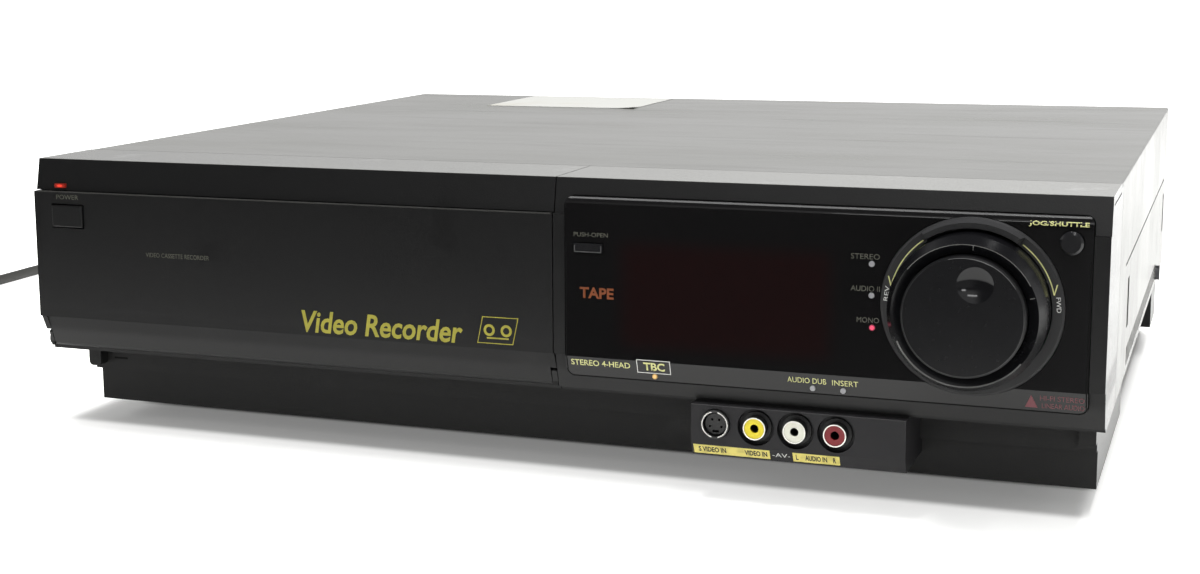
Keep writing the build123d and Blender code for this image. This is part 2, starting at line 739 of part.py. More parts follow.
with BuildPart() as mode_button:
    turned(mode_x, mode_z, (
        (0, mode_face), (mode_radius - dial_edge, mode_face), (mode_radius, mode_face + dial_edge),
        (mode_radius, window_back + lift), (mode_radius + stem_flange, window_back + lift),
        (mode_radius + stem_flange, window_back + lift + stem_flange),
        (stem_radius, window_back + lift + stem_flange),
        (stem_radius, board_depth - mode_travel - seat), (0, board_depth - mode_travel - seat)))
mode_button.part.label = "mode_button"
export_step(mode_button.part, "parts/mode_button.step")

with BuildPart() as door_release_button:
    block((release_x - release_width / 2, release_x + release_width / 2), (release_face, window_back + lift),
          (release_z - release_height / 2, release_z + release_height / 2))
    block((release_x - release_width / 2 - stem_flange, release_x + release_width / 2 + stem_flange),
          (window_back + lift, window_back + lift + stem_flange),
          (release_z - release_height / 2 - stem_flange, release_z + release_height / 2 + stem_flange))
    spindle(release_x, (window_back + lift, board_depth - release_travel - seat), release_z, stem_radius)
door_release_button.part.label = "door_release_button"
export_step(door_release_button.part, "parts/door_release_button.step")

# ---------------------------------------------------------------- door
chin_run = hypot(door_axis_depth - chin_depth, door_axis_height - chin_top)
chin_bearing = atan2(door_axis_height - chin_top, door_axis_depth - chin_depth)
chin_slope = chin_bearing - asin(door_barrel / chin_run)
chin_length = (chin_run ** 2 - door_barrel ** 2) ** 0.5
tangent_depth = chin_depth + chin_length * cos(chin_slope)
tangent_height = chin_top + chin_length * sin(chin_slope)
inward = (-sin(chin_slope) * wall, cos(chin_slope) * wall)

with BuildPart() as front_door:
    side_prism(((plate_depth, plate_top - seat), (plate_foot_depth, plate_foot), (chin_depth, chin_top),
                (tangent_depth, tangent_height), (tangent_depth + inward[0], tangent_height + inward[1]),
                (chin_depth + inward[0], chin_top + inward[1]), (plate_foot_depth + wall, plate_foot + wall),
                (plate_depth + wall, plate_top - seat)), (-half, split_x))
    for span in ((-half, panel_left), (panel_right, split_x)):
        side_prism(((plate_depth + 1, plate_top - seat), (plate_foot_depth + 1, plate_foot),
                    (chin_depth + 2, door_notch_top), (door_flange_depth, door_notch_top),
                    (door_flange_depth, plate_top - seat)), span)
    for span in ((-half - 1, panel_left + seat), (panel_right - seat, split_x + 1)):
        block(span, (plate_foot_depth - 1, door_axis_depth + door_barrel),
              (chin_foot - 1, door_notch_top), mode=Mode.SUBTRACT)
    cross_pin((panel_left + seat, panel_right - seat), door_axis_depth, door_axis_height, door_barrel)
    cross_pin((-half + seam, split_x - seam), door_axis_depth, door_axis_height, door_pin)
    block((power_x - power_width / 2 - door_hole_gap, power_x + power_width / 2 + door_hole_gap),
          (plate_foot_depth - 1, door_flange_depth),
          (power_z - power_height / 2 - door_hole_gap, power_z + power_height / 2 + door_hole_gap),
          mode=Mode.SUBTRACT)
front_door.part.label = "front_door"
export_step(front_door.part, "parts/front_door.step")

# ---------------------------------------------------------------- controls behind the door
key_xs = [key_first_x + i * key_pitch for i in range(len(key_names))]
flap_axis_height = slot_top - flap_axis_drop
panel_back = panel_depth + wall


def hole_for(x, z, width, height, gap):
    """Rectangular key hole through the control panel."""
    block((x - width / 2 - gap, x + width / 2 + gap), (panel_depth - 1, panel_back + 1),
          (z - height / 2 - gap, z + height / 2 + gap), mode=Mode.SUBTRACT)


with BuildPart() as control_panel:
    block((panel_left, panel_right), (panel_depth, panel_back), (chin_foot - seat, case_top - wall))
    block((slot_left, slot_right), (panel_depth - 1, panel_back + 1), (slot_foot, slot_top),
          mode=Mode.SUBTRACT)
    for x_span in ((slot_left - wall, slot_left), (slot_right, slot_right + wall)):
        block(x_span, (panel_back, flap_axis_depth + wall), (flap_axis_height - wall, slot_top))
        cross_pin((x_span[0] - 1, x_span[1] + 1), flap_axis_depth, flap_axis_height, flap_pin + running,
                  mode=Mode.SUBTRACT)
    hole_for(power_x, power_z, power_width - 2, power_height - 2, key_gap)
    for x in key_xs:
        hole_for(x, key_z, key_width, key_height, key_gap)
    for x in level_xs:
        spindle(x, (panel_depth - 1, panel_back + 1), level_z, level_shaft + running, mode=Mode.SUBTRACT)
control_panel.part.label = "control_panel"
export_step(control_panel.part, "parts/control_panel.step")

with BuildPart() as cassette_flap:
    block((slot_left + key_gap, slot_right - key_gap),
          (panel_depth + key_gap, panel_depth + key_gap + flap_thickness),
          (slot_foot + key_gap, flap_axis_height))
    block((slot_left + key_gap, slot_right - key_gap), (panel_depth + key_gap, flap_axis_depth),
          (flap_axis_height - flap_barrel, flap_axis_height))
    cross_pin((slot_left + key_gap, slot_right - key_gap), flap_axis_depth, flap_axis_height, flap_barrel)
    cross_pin((slot_left - wall + seam, slot_right + wall - seam), flap_axis_depth, flap_axis_height,
              flap_pin)
cassette_flap.part.label = "cassette_flap"
export_step(cassette_flap.part, "parts/cassette_flap.step")

power_across = (power_x - power_width / 2, power_x + power_width / 2)
power_up = (power_z - power_height / 2, power_z + power_height / 2)

with BuildPart() as power_button:
    block(power_across, (power_face, panel_depth - power_travel - seat), power_up)
    fillet(power_button.edges().group_by(Axis.Y)[0], power_edge)
    block((power_across[0] + 1, power_across[1] - 1), (panel_depth - 2 * power_travel, panel_back + key_gap),
          (power_up[0] + 1, power_up[1] - 1))
    block(power_across, (panel_back + key_gap, panel_back + key_gap + key_flange), power_up)
power_button.part.label = "power_button"
export_step(power_button.part, "parts/power_button.step")

for name, x in zip(key_names, key_xs):
    with BuildPart() as key:
        block((x - key_width / 2, x + key_width / 2), (key_face, panel_back + key_gap),
              (key_z - key_height / 2, key_z + key_height / 2))
        chamfer(key.edges().group_by(Axis.Y)[0], key_edge)
        block((x - key_width / 2 - 1, x + key_width / 2 + 1),
              (panel_back + key_gap, panel_back + key_gap + key_flange),
              (key_z - key_height / 2 - 1, key_z + key_height / 2 + 1))
    key.part.label = name + "_key"
    export_step(key.part, "parts/" + name + "_key.step")

for name, x in zip(("left", "right"), level_xs):
    with BuildPart() as knob:
        spindle(x, (level_face, panel_depth - lift), level_z, level_radius)
        chamfer(knob.edges().filter_by(GeomType.CIRCLE).group_by(Axis.Y)[0], level_edge)
        block((x - level_mark[0] / 2, x + level_mark[0] / 2), (level_face - 1, level_face + level_mark[1]),
              (level_z + level_mark[0], level_z + level_radius + 1), mode=Mode.SUBTRACT)
        spindle(x, (panel_depth - lift, panel_back + level_reach), level_z, level_shaft)
        spindle(x, (panel_back + lift, panel_back + level_reach), level_z, 2 * level_shaft)
    knob.part.label = name + "_level_knob"
    export_step(knob.part, "parts/" + name + "_level_knob.step")

# ---------------------------------------------------------------- front jacks
with BuildPart() as jack_housing:
    side_prism(((av_face, lip_foot), (av_face, av_band_top), (av_band_depth, av_foot),
                (skirt_depth, av_foot), (skirt_depth, skirt_band_foot), (skirt_band_depth, skirt_band_foot),
                (skirt_band_depth, lip_foot)), (av_left, av_right))
    block((av_left + wall, av_right - wall), (av_face + recess_sink + wall, skirt_depth),
          (av_foot + wall, lip_foot - wall), mode=Mode.SUBTRACT)
    for x in jack_xs:
        spindle(x, (av_face - 1, av_face + recess_sink), jack_height, jack_recess, mode=Mode.SUBTRACT)
        spindle(x, (av_face, skirt_band_depth), jack_height, jack_outer + seat, mode=Mode.SUBTRACT)
    spindle(s_video_x, (av_face - 1, skirt_band_depth), jack_height, s_video_radius + seat,
            mode=Mode.SUBTRACT)
jack_housing.part.label = "jack_housing"
export_step(jack_housing.part, "parts/jack_housing.step")

front_sockets = [(x, jack_face, jack_height) for x in jack_xs]
socket_back = front_sockets[0][1] + jack_length
rear_face = case_depth + rear_reach
rear_sockets = {colour: [(x, z) for z in rear_jack_zs]
                for colour, x in zip(("yellow", "white", "red"), rear_jack_xs)}

with BuildPart() as jack_shells:
    for x, face, z in front_sockets:
        spindle(x, (face, face + jack_length), z, jack_outer)
        flange_seat = av_face + recess_sink
        spindle(x, (flange_seat - jack_flange_gauge, flange_seat), z, jack_flange)
    for x in rear_jack_xs:
        for z in rear_jack_zs:
            spindle(x, (rear_face - jack_length, rear_face), z, jack_outer)
            spindle(x, (panel_rear, panel_rear + jack_flange_gauge), z, jack_flange)
    for x, face, z in front_sockets:
        spindle(x, (face - 1, face + jack_length + 1), z, jack_inner, mode=Mode.SUBTRACT)
    for x in rear_jack_xs:
        for z in rear_jack_zs:
            spindle(x, (rear_face - jack_length - 1, rear_face + 1), z, jack_inner, mode=Mode.SUBTRACT)
jack_shells.part.label = "jack_shells"
export_step(jack_shells.part, "parts/jack_shells.step")

for index, colour in enumerate(("yellow", "white", "red")):
    with BuildPart() as inserts:
        x, face, z = front_sockets[index]
        spindle(x, (face + insert_sink, face + jack_length), z, jack_inner - running)
        for rear_x, rear_z in rear_sockets[colour]:
            spindle(rear_x, (rear_face - jack_length, rear_face - insert_sink), rear_z, jack_inner - running)
        spindle(x, (face, face + jack_length - wall), z, jack_pin_hole, mode=Mode.SUBTRACT)
        for rear_x, rear_z in rear_sockets[colour]:
            spindle(rear_x, (rear_face - jack_length + wall, rear_face), rear_z, jack_pin_hole,
                    mode=Mode.SUBTRACT)
    inserts.part.label = colour + "_inserts"
    export_step(inserts.part, "parts/" + colour + "_inserts.step")

with BuildPart() as s_video_jacks:
    sockets = [(s_video_x, jack_height, av_face - s_video_front_proud, 1)]
    sockets += [(x, z, rear_face - s_video_rear_drop, -1) for x, z in rear_s_video]
    for x, z, face, inward_step in sockets:
        mouth = sorted((face - inward_step, face + inward_step * s_video_mouth))
        core = sorted((face + inward_step * s_video_sink, face + inward_step * (s_video_mouth + 1)))
        key_half, key_foot, key_top = s_video_key
        spindle(x, sorted((face, face + inward_step * s_video_length)), z, s_video_radius)
        spindle(x, mouth, z, s_video_core, mode=Mode.SUBTRACT)
        spindle(x, core, z, s_video_core - s_video_slack)
        for pin_x, pin_z in s_video_pins:
            spindle(x + pin_x, mouth, z + pin_z, s_video_pin_radius, mode=Mode.SUBTRACT)
        block((x - key_half, x + key_half), mouth, (z - key_foot, z - key_top), mode=Mode.SUBTRACT)
s_video_jacks.part.label = "s_video_jacks"
export_step(s_video_jacks.part, "parts/s_video_jacks.step")

with BuildPart() as tuner:
    block(tuner_x, (panel_front - tuner_length, panel_front), tuner_z)
    for z in aerial_zs:
        spindle(aerial_x, (panel_front, rear_face - 1), z, aerial_radius)
        with BuildSketch(front_plane(panel_rear)):
            with Locations((aerial_x, z)):
                RegularPolygon(aerial_nut, 6)
                Circle(aerial_radius, mode=Mode.SUBTRACT)
        extrude(amount=-aerial_nut_gauge)
        spindle(aerial_x, (rear_face - aerial_bore_depth, rear_face), z, aerial_bore, mode=Mode.SUBTRACT)
tuner.part.label = "tuner"
export_step(tuner.part, "parts/tuner.step")

# ---------------------------------------------------------------- deck
supply_x_reel = deck_middle_x - reel_spacing / 2
takeup_x_reel = deck_middle_x + reel_spacing / 2
carriage_x = (deck_middle_x - cassette_width / 2 - carriage_gauge - carriage_slack,
              deck_middle_x + cassette_width / 2 + carriage_gauge + carriage_slack)
carriage_top = carriage_foot + cassette_height + 2 * (carriage_gauge + carriage_slack)
carriage_rear = carriage_front + cassette_length + carriage_gauge
carriage_pin_z = (carriage_foot + carriage_top) / 2
engaged = (capstan_x + pinch_pressed[0], capstan_y + pinch_pressed[1])
pinch_reach = hypot(engaged[0] - pinch_pivot[0], engaged[1] - pinch_pivot[1])
pinch_bearing = atan2(engaged[1] - pinch_pivot[1], engaged[0] - pinch_pivot[0]) - radians(pinch_swing)
pinch_rest = (pinch_pivot[0] + pinch_reach * cos(pinch_bearing),
              pinch_pivot[1] + pinch_reach * sin(pinch_bearing))

with BuildPart() as deck_plate:
    block(deck_x, deck_y, (deck_height, deck_top))
    post(capstan_x, capstan_y, (deck_height - 1, deck_top + 1), bush_radius + seat, mode=Mode.SUBTRACT)
    for x in (supply_x_reel, takeup_x_reel):
        post(x, reel_y, (deck_top, reel_hub_top - wall), reel_pin)
        post(x, reel_y, (deck_top, deck_top + boss_height), 2 * reel_pin)
    for x, depth in (pinch_pivot, tension_pivot):
        post(x, depth, (deck_top, arm_foot + 2 * arm_gauge), arm_pin)
deck_plate.part.label = "deck_plate"
export_step(deck_plate.part, "parts/deck_plate.step")

for name, x in (("supply", supply_x_reel), ("takeup", takeup_x_reel)):
    with BuildPart() as reel_table:
        foot = deck_top + boss_height + lift
        post(x, reel_y, (foot, foot + reel_flange), reel_radius)
        post(x, reel_y, (foot, reel_hub_top), reel_hub)
        for spoke in range(reel_spokes):
            spread = 2 * pi * spoke / reel_spokes
            with Locations(Location((x + reel_hub * cos(spread), front_y + reel_y + reel_hub * sin(spread),
                                     (foot + reel_hub_top) / 2), (0, 0, degrees(spread)))):
                Box(*reel_spoke, reel_hub_top - foot)
        post(x, reel_y, (foot, reel_hub_top - wall + lift), reel_pin + running, mode=Mode.SUBTRACT)
    reel_table.part.label = name + "_reel_table"
    export_step(reel_table.part, "parts/" + name + "_reel_table.step")

with BuildPart() as carriage_sides:
    slot_half = carriage_pin + running
    for inner, outward in ((carriage_x[0] - side_plate_gap, -1), (carriage_x[1] + side_plate_gap, 1)):
        plate = sorted((inner, inner + outward * side_plate_gauge))
        foot_flange = sorted((inner, inner + outward * side_plate_foot))
        block(plate, side_plate_y, (deck_top, side_plate_top))
        block(foot_flange, side_plate_y, (deck_top, deck_top + side_plate_gauge))
        for depth in carriage_pin_ys:
            block((plate[0] - 1, plate[1] + 1), (depth - slot_half, depth + slot_half),
                  (carriage_pin_z - carriage_travel - slot_half, carriage_pin_z + slot_half),
                  mode=Mode.SUBTRACT)
carriage_sides.part.label = "carriage_sides"
export_step(carriage_sides.part, "parts/carriage_sides.step")

with BuildPart() as cassette_carriage:
    block(carriage_x, (carriage_front, carriage_rear), (carriage_foot, carriage_top))
    block((carriage_x[0] + carriage_gauge, carriage_x[1] - carriage_gauge),
          (carriage_front - 1, carriage_rear - carriage_gauge),
          (carriage_foot + carriage_gauge, carriage_top - carriage_gauge), mode=Mode.SUBTRACT)
    for x in (supply_x_reel, takeup_x_reel):
        post(x, reel_y, (carriage_foot - 1, carriage_foot + carriage_gauge + 1), reel_hub + hub_window,
             mode=Mode.SUBTRACT)
    block((carriage_x[0] + roof_opening[0], carriage_x[1] - roof_opening[0]),
          (carriage_front + roof_opening[1], carriage_rear - roof_opening[1]),
          (carriage_top - carriage_gauge - 1, carriage_top + 1), mode=Mode.SUBTRACT)
    block((carriage_x[0] + rear_opening[0], carriage_x[1] - rear_opening[0]),
          (carriage_rear - 2 * carriage_gauge, carriage_rear + 1),
          (carriage_foot + rear_opening[1], carriage_top - rear_opening[1]), mode=Mode.SUBTRACT)
    for depth in carriage_pin_ys:
        pin_reach = side_plate_gap + side_plate_gauge + 1
        cross_pin((carriage_x[0] - pin_reach, carriage_x[0]), depth, carriage_pin_z, carriage_pin)
        cross_pin((carriage_x[1], carriage_x[1] + pin_reach), depth, carriage_pin_z, carriage_pin)
cassette_carriage.part.label = "cassette_carriage"
export_step(cassette_carriage.part, "parts/cassette_carriage.step")

drum_axis = (0, -sin(radians(drum_tilt)), cos(radians(drum_tilt)))
drum_seat = (deck_middle_x, front_y + drum_y, drum_base)


def drum_plane(height):
    """Plane across the leaning drum, at a height along its axis."""
    origin = [base + height * step for base, step in zip(drum_seat, drum_axis)]
    return Plane(origin=tuple(origin), x_dir=(1, 0, 0), z_dir=drum_axis)


with BuildPart() as lower_drum:
    post(deck_middle_x, drum_y, (deck_top, drum_base + drum_floor), drum_seat_radius)
    with BuildSketch(drum_plane(0)):
        Circle(drum_radius)
    extrude(amount=drum_lower)
    with BuildSketch(drum_plane(drum_floor)):
        Circle(drum_shaft + running)
    extrude(amount=drum_lower, mode=Mode.SUBTRACT)
lower_drum.part.label = "lower_drum"
export_step(lower_drum.part, "parts/lower_drum.step")

with BuildPart() as upper_drum:
    with BuildSketch(drum_plane(drum_lower + drum_gap)):
        Circle(drum_radius)
    extrude(amount=drum_upper)
    with BuildSketch(drum_plane(drum_floor + lift)):
        Circle(drum_shaft)
    extrude(amount=drum_lower)
    with BuildSketch(drum_plane(drum_lower + drum_gap + drum_upper)):
        Circle(drum_recess[1])
        Circle(drum_recess[0], mode=Mode.SUBTRACT)
    extrude(amount=-drum_recess[2], mode=Mode.SUBTRACT)
upper_drum.part.label = "upper_drum"
export_step(upper_drum.part, "parts/upper_drum.step")

with BuildPart() as capstan_motor:
    post(capstan_x, capstan_y, (deck_height - motor_height, deck_height), motor_radius)
    post(capstan_x, capstan_y, (deck_height, bush_top), bush_radius)
    post(capstan_x, capstan_y, (deck_height - motor_height, bush_top), capstan_radius + running,
         mode=Mode.SUBTRACT)
capstan_motor.part.label = "capstan_motor"
export_step(capstan_motor.part, "parts/capstan_motor.step")

with BuildPart() as capstan:
    wheel_top = deck_height - motor_height - lift
    post(capstan_x, capstan_y, (wheel_top - flywheel_height, wheel_top), flywheel_radius)
    post(capstan_x, capstan_y, (wheel_top, capstan_top), capstan_radius)
capstan.part.label = "capstan"
export_step(capstan.part, "parts/capstan.step")


def arm_plate(start, end, half_width, z_span):
    """Flat arm with round ends."""
    middle = ((start[0] + end[0]) / 2, front_y + (start[1] + end[1]) / 2)
    length = hypot(end[0] - start[0], end[1] - start[1])
    turn = degrees(atan2(end[1] - start[1], end[0] - start[0]))
    with BuildSketch(Plane.XY.offset(z_span[0])) as outline:
        with Locations(Location((*middle, 0), (0, 0, turn))):
            SlotCenterToCenter(length, 2 * half_width)
    extrude(outline.sketch, amount=z_span[1] - z_span[0])


with BuildPart() as pinch_roller_arm:
    arm_plate(pinch_pivot, pinch_rest, pinch_arm_half, (arm_foot, arm_foot + arm_gauge))
    post(*pinch_pivot, (deck_top + lift, arm_foot + 2 * arm_gauge), pinch_hub)
    post(*pinch_rest, (arm_foot + arm_gauge, capstan_top - pin_clear), pinch_pin)
    post(*pinch_pivot, (deck_top, arm_foot + 2 * arm_gauge + 1), arm_pin + running, mode=Mode.SUBTRACT)
pinch_roller_arm.part.label = "pinch_roller_arm"
export_step(pinch_roller_arm.part, "parts/pinch_roller_arm.step")

with BuildPart() as pinch_roller:
    roller_span = (arm_foot + arm_gauge + lift, capstan_top - pin_clear - roller_drop)
    post(*pinch_rest, roller_span, pinch_radius)
    post(*pinch_rest, roller_span, pinch_pin + running, mode=Mode.SUBTRACT)
pinch_roller.part.label = "pinch_roller"
export_step(pinch_roller.part, "parts/pinch_roller.step")

with BuildPart() as tension_arm:
    arm_plate(tension_pivot, tension_end, tension_arm_half, tension_arm_z)
    post(*tension_pivot, (deck_top + lift, arm_foot + 2 * arm_gauge), tension_hub)
    post(*tension_end, (tension_arm_z[1], tension_pin_top), tension_pin)
    post(*tension_pivot, (deck_top, arm_foot + 2 * arm_gauge + 1), arm_pin + running, mode=Mode.SUBTRACT)
tension_arm.part.label = "tension_arm"
export_step(tension_arm.part, "parts/tension_arm.step")

with BuildPart() as audio_control_head:
    block(*head_base)
    block(*head_stack)
audio_control_head.part.label = "audio_control_head"
export_step(audio_control_head.part, "parts/audio_control_head.step")

# ---------------------------------------------------------------- electronics
board_foot = foot_height + tray_wall + standoff
board_top = board_foot + board_gauge

with BuildPart() as main_board:
    block(main_board_x, main_board_y, (board_foot, board_top))
    for across, deep, height in main_board_blocks:
        block(across, deep, (board_top, board_top + height))
    for x in capacitor_xs:
        for depth, height in capacitor_rows:
            post(x, depth, (board_top, board_top + height), capacitor_radius)
main_board.part.label = "main_board"
export_step(main_board.part, "parts/main_board.step")

with BuildPart() as power_supply:
    block(supply_x, supply_y, (board_foot, board_top))
    block(transformer[0], transformer[1], (board_top, board_top + transformer[2]))
    for x in heat_sink_xs:
        block((x, x + heat_sink_fin), heat_sink_span, (board_top, board_top + heat_sink_height))
    for x in reservoir_xs:
        post(x, reservoir[0], (board_top, board_top + reservoir[1]), reservoir[2])
power_supply.part.label = "power_supply"
export_step(power_supply.part, "parts/power_supply.step")

# ---------------------------------------------------------------- mains lead
relief_end = panel_rear + relief_length
cord_radius = cord_diameter / 2
coil_centre = (cord_exit_x - 341.0, relief_end - 148.6)
cord_lie = cord_radius + 0.1   # height of the lead's middle where it lies on the table
coil_slack = 0.2              # looseness of the turns
coil_entry = 24.0             # straight stretch where the lead joins the coil
coil_exit = 26.0
cord_route = (                # across and back from the strain relief's end, and height
    (0, 0, cord_exit_z),
    (0, 25.4, cord_exit_z),
    (-3.0, 49.4, 38.0),
    (-13.0, 65.4, 14.0),
    (-37.0, 75.4, cord_lie),
    (-84.0, 78.4, cord_lie),
    (-136.0, 72.4, cord_lie),
    (-188.0, 61.4, cord_lie),
    (-236.0, 43.4, cord_lie),
    (-276.0, 15.4, cord_lie),
    (-300.0, -22.6, cord_lie),
    (-307.0, -62.6, cord_lie),
    (-305.0, -98.6, cord_lie),
    (-305.0, -124.6, cord_lie),
)

with BuildPart() as cord_strain_relief:
    turned(cord_exit_x, cord_exit_z, (
        (0, panel_front - 3), (cord_diameter, panel_front - 3), (cord_diameter, panel_rear),
        (cord_diameter + relief_collar, panel_rear),
        (cord_diameter + relief_collar, panel_rear + relief_collar),
        (cord_diameter, panel_rear + relief_collar), (cord_radius + 1, relief_end), (0, relief_end)))
cord_strain_relief.part.label = "cord_strain_relief"
export_step(cord_strain_relief.part, "parts/cord_strain_relief.step")

points = [Vector(cord_exit_x + x, front_y + relief_end + depth, z) for x, depth, z in cord_route]
bends = []
for before, corner, after in zip(points, points[1:], points[2:]):
    turn = radians((corner - before).get_angle(after - corner))
    shorter = min((corner - before).length, (after - corner).length)
    bends.append(bend_share * shorter / tan(turn / 2))
with BuildPart() as power_cord:
    with BuildLine() as cord_path:
        FilletPolyline(*points, radius=bends)
    with BuildSketch(Plane(origin=points[0], x_dir=(1, 0, 0), z_dir=(points[1] - points[0]).normalized())):
        Circle(cord_radius)
    sweep(path=cord_path.line)
power_cord.part.label = "power_cord"
export_step(power_cord.part, "parts/power_cord.step")
print("cord bend radii", [round(bend, 1) for bend in bends])
print("cord length", round(cord_path.wire().length, 1), "volume over section",
      round(power_cord.part.volume / (pi * cord_radius ** 2), 1))

coil_width = 2 * cord_diameter
coil_height = coil_turns / 2 * cord_diameter
outer_turn = coil_turn_radius + cord_radius
with BuildPart() as cord_coil:
    post(*coil_centre, (0, coil_height), coil_turn_radius + coil_width / 2 + coil_slack)
    post(*coil_centre, (0, coil_height), coil_turn_radius - coil_width / 2, mode=Mode.SUBTRACT)
    spindle(coil_centre[0] + outer_turn, (coil_centre[1], coil_centre[1] + coil_entry), cord_lie,
            cord_radius)
    spindle(coil_centre[0] - outer_turn, (coil_centre[1], coil_centre[1] + coil_exit), plug_diameter / 2,
            cord_radius)
cord_coil.part.label = "cord_coil"
export_step(cord_coil.part, "parts/cord_coil.step")

plug_x = coil_centre[0] - outer_turn
plug_start = coil_centre[1] + coil_exit
with BuildPart() as power_plug:
    plug_span = (plug_start + plug_neck, plug_start + plug_length)
    block((plug_x - plug_diameter * plug_side, plug_x + plug_diameter * plug_side), plug_span,
          (0, plug_diameter))
    fillet(power_plug.edges().filter_by(Axis.Y), plug_edge)
    spindle(plug_x, (plug_start, plug_span[0]), plug_diameter / 2, cord_radius + 1.5)
    for side in (-1, 1):
        blade_x = plug_x + side * blade_pitch / 2
        block((blade_x - blade_gauge / 2, blade_x + blade_gauge / 2),
              (plug_span[1], plug_span[1] + blade_length),
              (plug_diameter / 2 - blade_width / 2, plug_diameter / 2 + blade_width / 2))
power_plug.part.label = "power_plug"
export_step(power_plug.part, "parts/power_plug.step")
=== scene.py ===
# %% [markdown]
# # A video cassette recorder, dressed in Blender
# The recorder's solid pieces come from CAD as a fixed frame: nothing here moves or reshapes them.
# This lesson gives them finishes, adds the lead, the printing and the small trim, and lights the scene.
# Everything is in metres, in the same frame as the CAD, so a piece goes where the drawing says.

# %% Load the fixed frame
import math

import bmesh
import bpy
from mathutils import Matrix, Vector


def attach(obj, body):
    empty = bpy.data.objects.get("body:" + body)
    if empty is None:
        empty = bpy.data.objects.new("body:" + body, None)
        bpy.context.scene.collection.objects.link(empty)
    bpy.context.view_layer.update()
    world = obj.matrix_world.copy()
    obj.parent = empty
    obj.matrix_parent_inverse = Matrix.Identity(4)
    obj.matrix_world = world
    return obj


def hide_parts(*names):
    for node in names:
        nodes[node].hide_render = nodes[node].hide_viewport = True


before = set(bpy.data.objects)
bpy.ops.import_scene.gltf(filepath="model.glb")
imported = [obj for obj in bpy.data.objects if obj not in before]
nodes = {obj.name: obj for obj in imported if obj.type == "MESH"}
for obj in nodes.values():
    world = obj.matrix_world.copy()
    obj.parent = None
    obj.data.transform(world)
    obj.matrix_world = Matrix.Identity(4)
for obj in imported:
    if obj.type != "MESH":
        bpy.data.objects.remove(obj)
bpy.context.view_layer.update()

# %% [markdown]
# ## Where things are
# The drawing counts depths back from the upper front edge of the bezel, in millimetres.
# One helper turns across, depth and height into a point of the scene.

# %% A point of the drawing
FRONT = -0.1758


def spot(x, depth, z):
    """A point given as the drawing gives it, in millimetres."""
    return Vector((x / 1000, FRONT + depth / 1000, z / 1000))


# %% [markdown]
# ## The camera
# A camera looks along its own -Z. Yaw turns it to the left of straight on, pitch tips it down and
# roll tilts the horizon, so its axes are worked out from these three angles.

# %% Camera
YAW, PITCH, ROLL = 0.373, 0.1634, -0.0107
LENS, SENSOR = 53.58, 36.0
SHIFT_X, SHIFT_Y = 0.0350, -0.0266
EYE = Vector((0.25687, -0.78856, 0.19797))
gaze = Vector((-math.sin(YAW) * math.cos(PITCH), math.cos(YAW) * math.cos(PITCH), -math.sin(PITCH)))
level_right = gaze.cross(Vector((0, 0, 1))).normalized()
level_up = level_right.cross(gaze)
camera_right = level_right * math.cos(ROLL) + level_up * math.sin(ROLL)
camera_up = camera_right.cross(gaze)
camera_data = bpy.data.cameras.new("camera")
camera_data.sensor_width = SENSOR
camera_data.lens = LENS
camera_data.shift_x = SHIFT_X
camera_data.shift_y = SHIFT_Y
camera = bpy.data.objects.new("camera", camera_data)
camera.matrix_world = Matrix((
    (camera_right.x, camera_up.x, -gaze.x, EYE.x),
    (camera_right.y, camera_up.y, -gaze.y, EYE.y),
    (camera_right.z, camera_up.z, -gaze.z, EYE.z),
    (0, 0, 0, 1)))
bpy.context.scene.collection.objects.link(camera)
bpy.context.scene.camera = camera

# %% [markdown]
# ## The mains lead
# A lead is a length of soft cable. It leaves the strain relief level, drops to the table behind the
# case and lies in one long lazy curve. What isn't needed is wound into a coil of turns that lie
# beside and on each other. A NURBS spline runs smoothly between its points, so a dozen and a half
# points draw the lying stretch and a loop adds the turns.

# %% The lead's lying stretch
LEAD = 0.006                  # thickness
relief_end = 398.6
lead_route = [
    (-170, relief_end, 52), (-170, 424, 52), (-173, 448, 38), (-183, 464, 14), (-207, 474, 3.1),
    (-254, 477, 3.1), (-306, 471, 3.1), (-358, 460, 3.1), (-406, 442, 3.1), (-446, 414, 3.1),
    (-470, 376, 3.1), (-477, 336, 3.1), (-475, 300, 3.1), (-475, 274, 3.1)]
lead_points = [spot(*point) for point in lead_route]

# %% [markdown]
# The turns are kept as stations: how far round the lead is, the radius it lies at and its height.
# Between two stations it slides over smoothly, each crossing a little before the one below it.

# %% The lead's coil
COIL_MIDDLE = spot(-511, 250, 0)
OUTER, INNER = 36.0, 30.0
stations = [
    (0.0, OUTER, 3.1), (0.72, OUTER, 3.1), (0.98, INNER, 3.1), (1.50, INNER, 3.1), (1.74, INNER, 9.1),
    (2.26, INNER, 9.1), (2.50, INNER, 15.0), (3.02, INNER, 15.0), (3.26, OUTER, 15.0), (3.78, OUTER, 15.0),
    (4.02, OUTER, 9.1), (4.50, OUTER, 9.0)]
POINTS_A_TURN = 16
pull_in = 0.981               # a quadratic spline runs this much inside its points on a circle


def lie(turn):
    """Radius and height of the lead after so many turns."""
    for (start, r0, z0), (end, r1, z1) in zip(stations, stations[1:]):
        if start <= turn <= end:
            share = (turn - start) / (end - start)
            share = share * share * (3 - 2 * share)
            return r0 + (r1 - r0) * share, z0 + (z1 - z0) * share
    return stations[-1][1:]


for step in range(int(stations[-1][0] * POINTS_A_TURN) + 1):
    turn = step / POINTS_A_TURN
    radius, height = lie(turn)
    angle = -2 * math.pi * turn
    reach = radius / pull_in / 1000
    turned = Vector((reach * math.cos(angle), reach * math.sin(angle), height / 1000))
    lead_points.append(COIL_MIDDLE + turned)
lead_points.append(spot(-547, 262, 9))
lead_points.append(spot(-547, 276, 9))
print("lead points", len(lead_points))

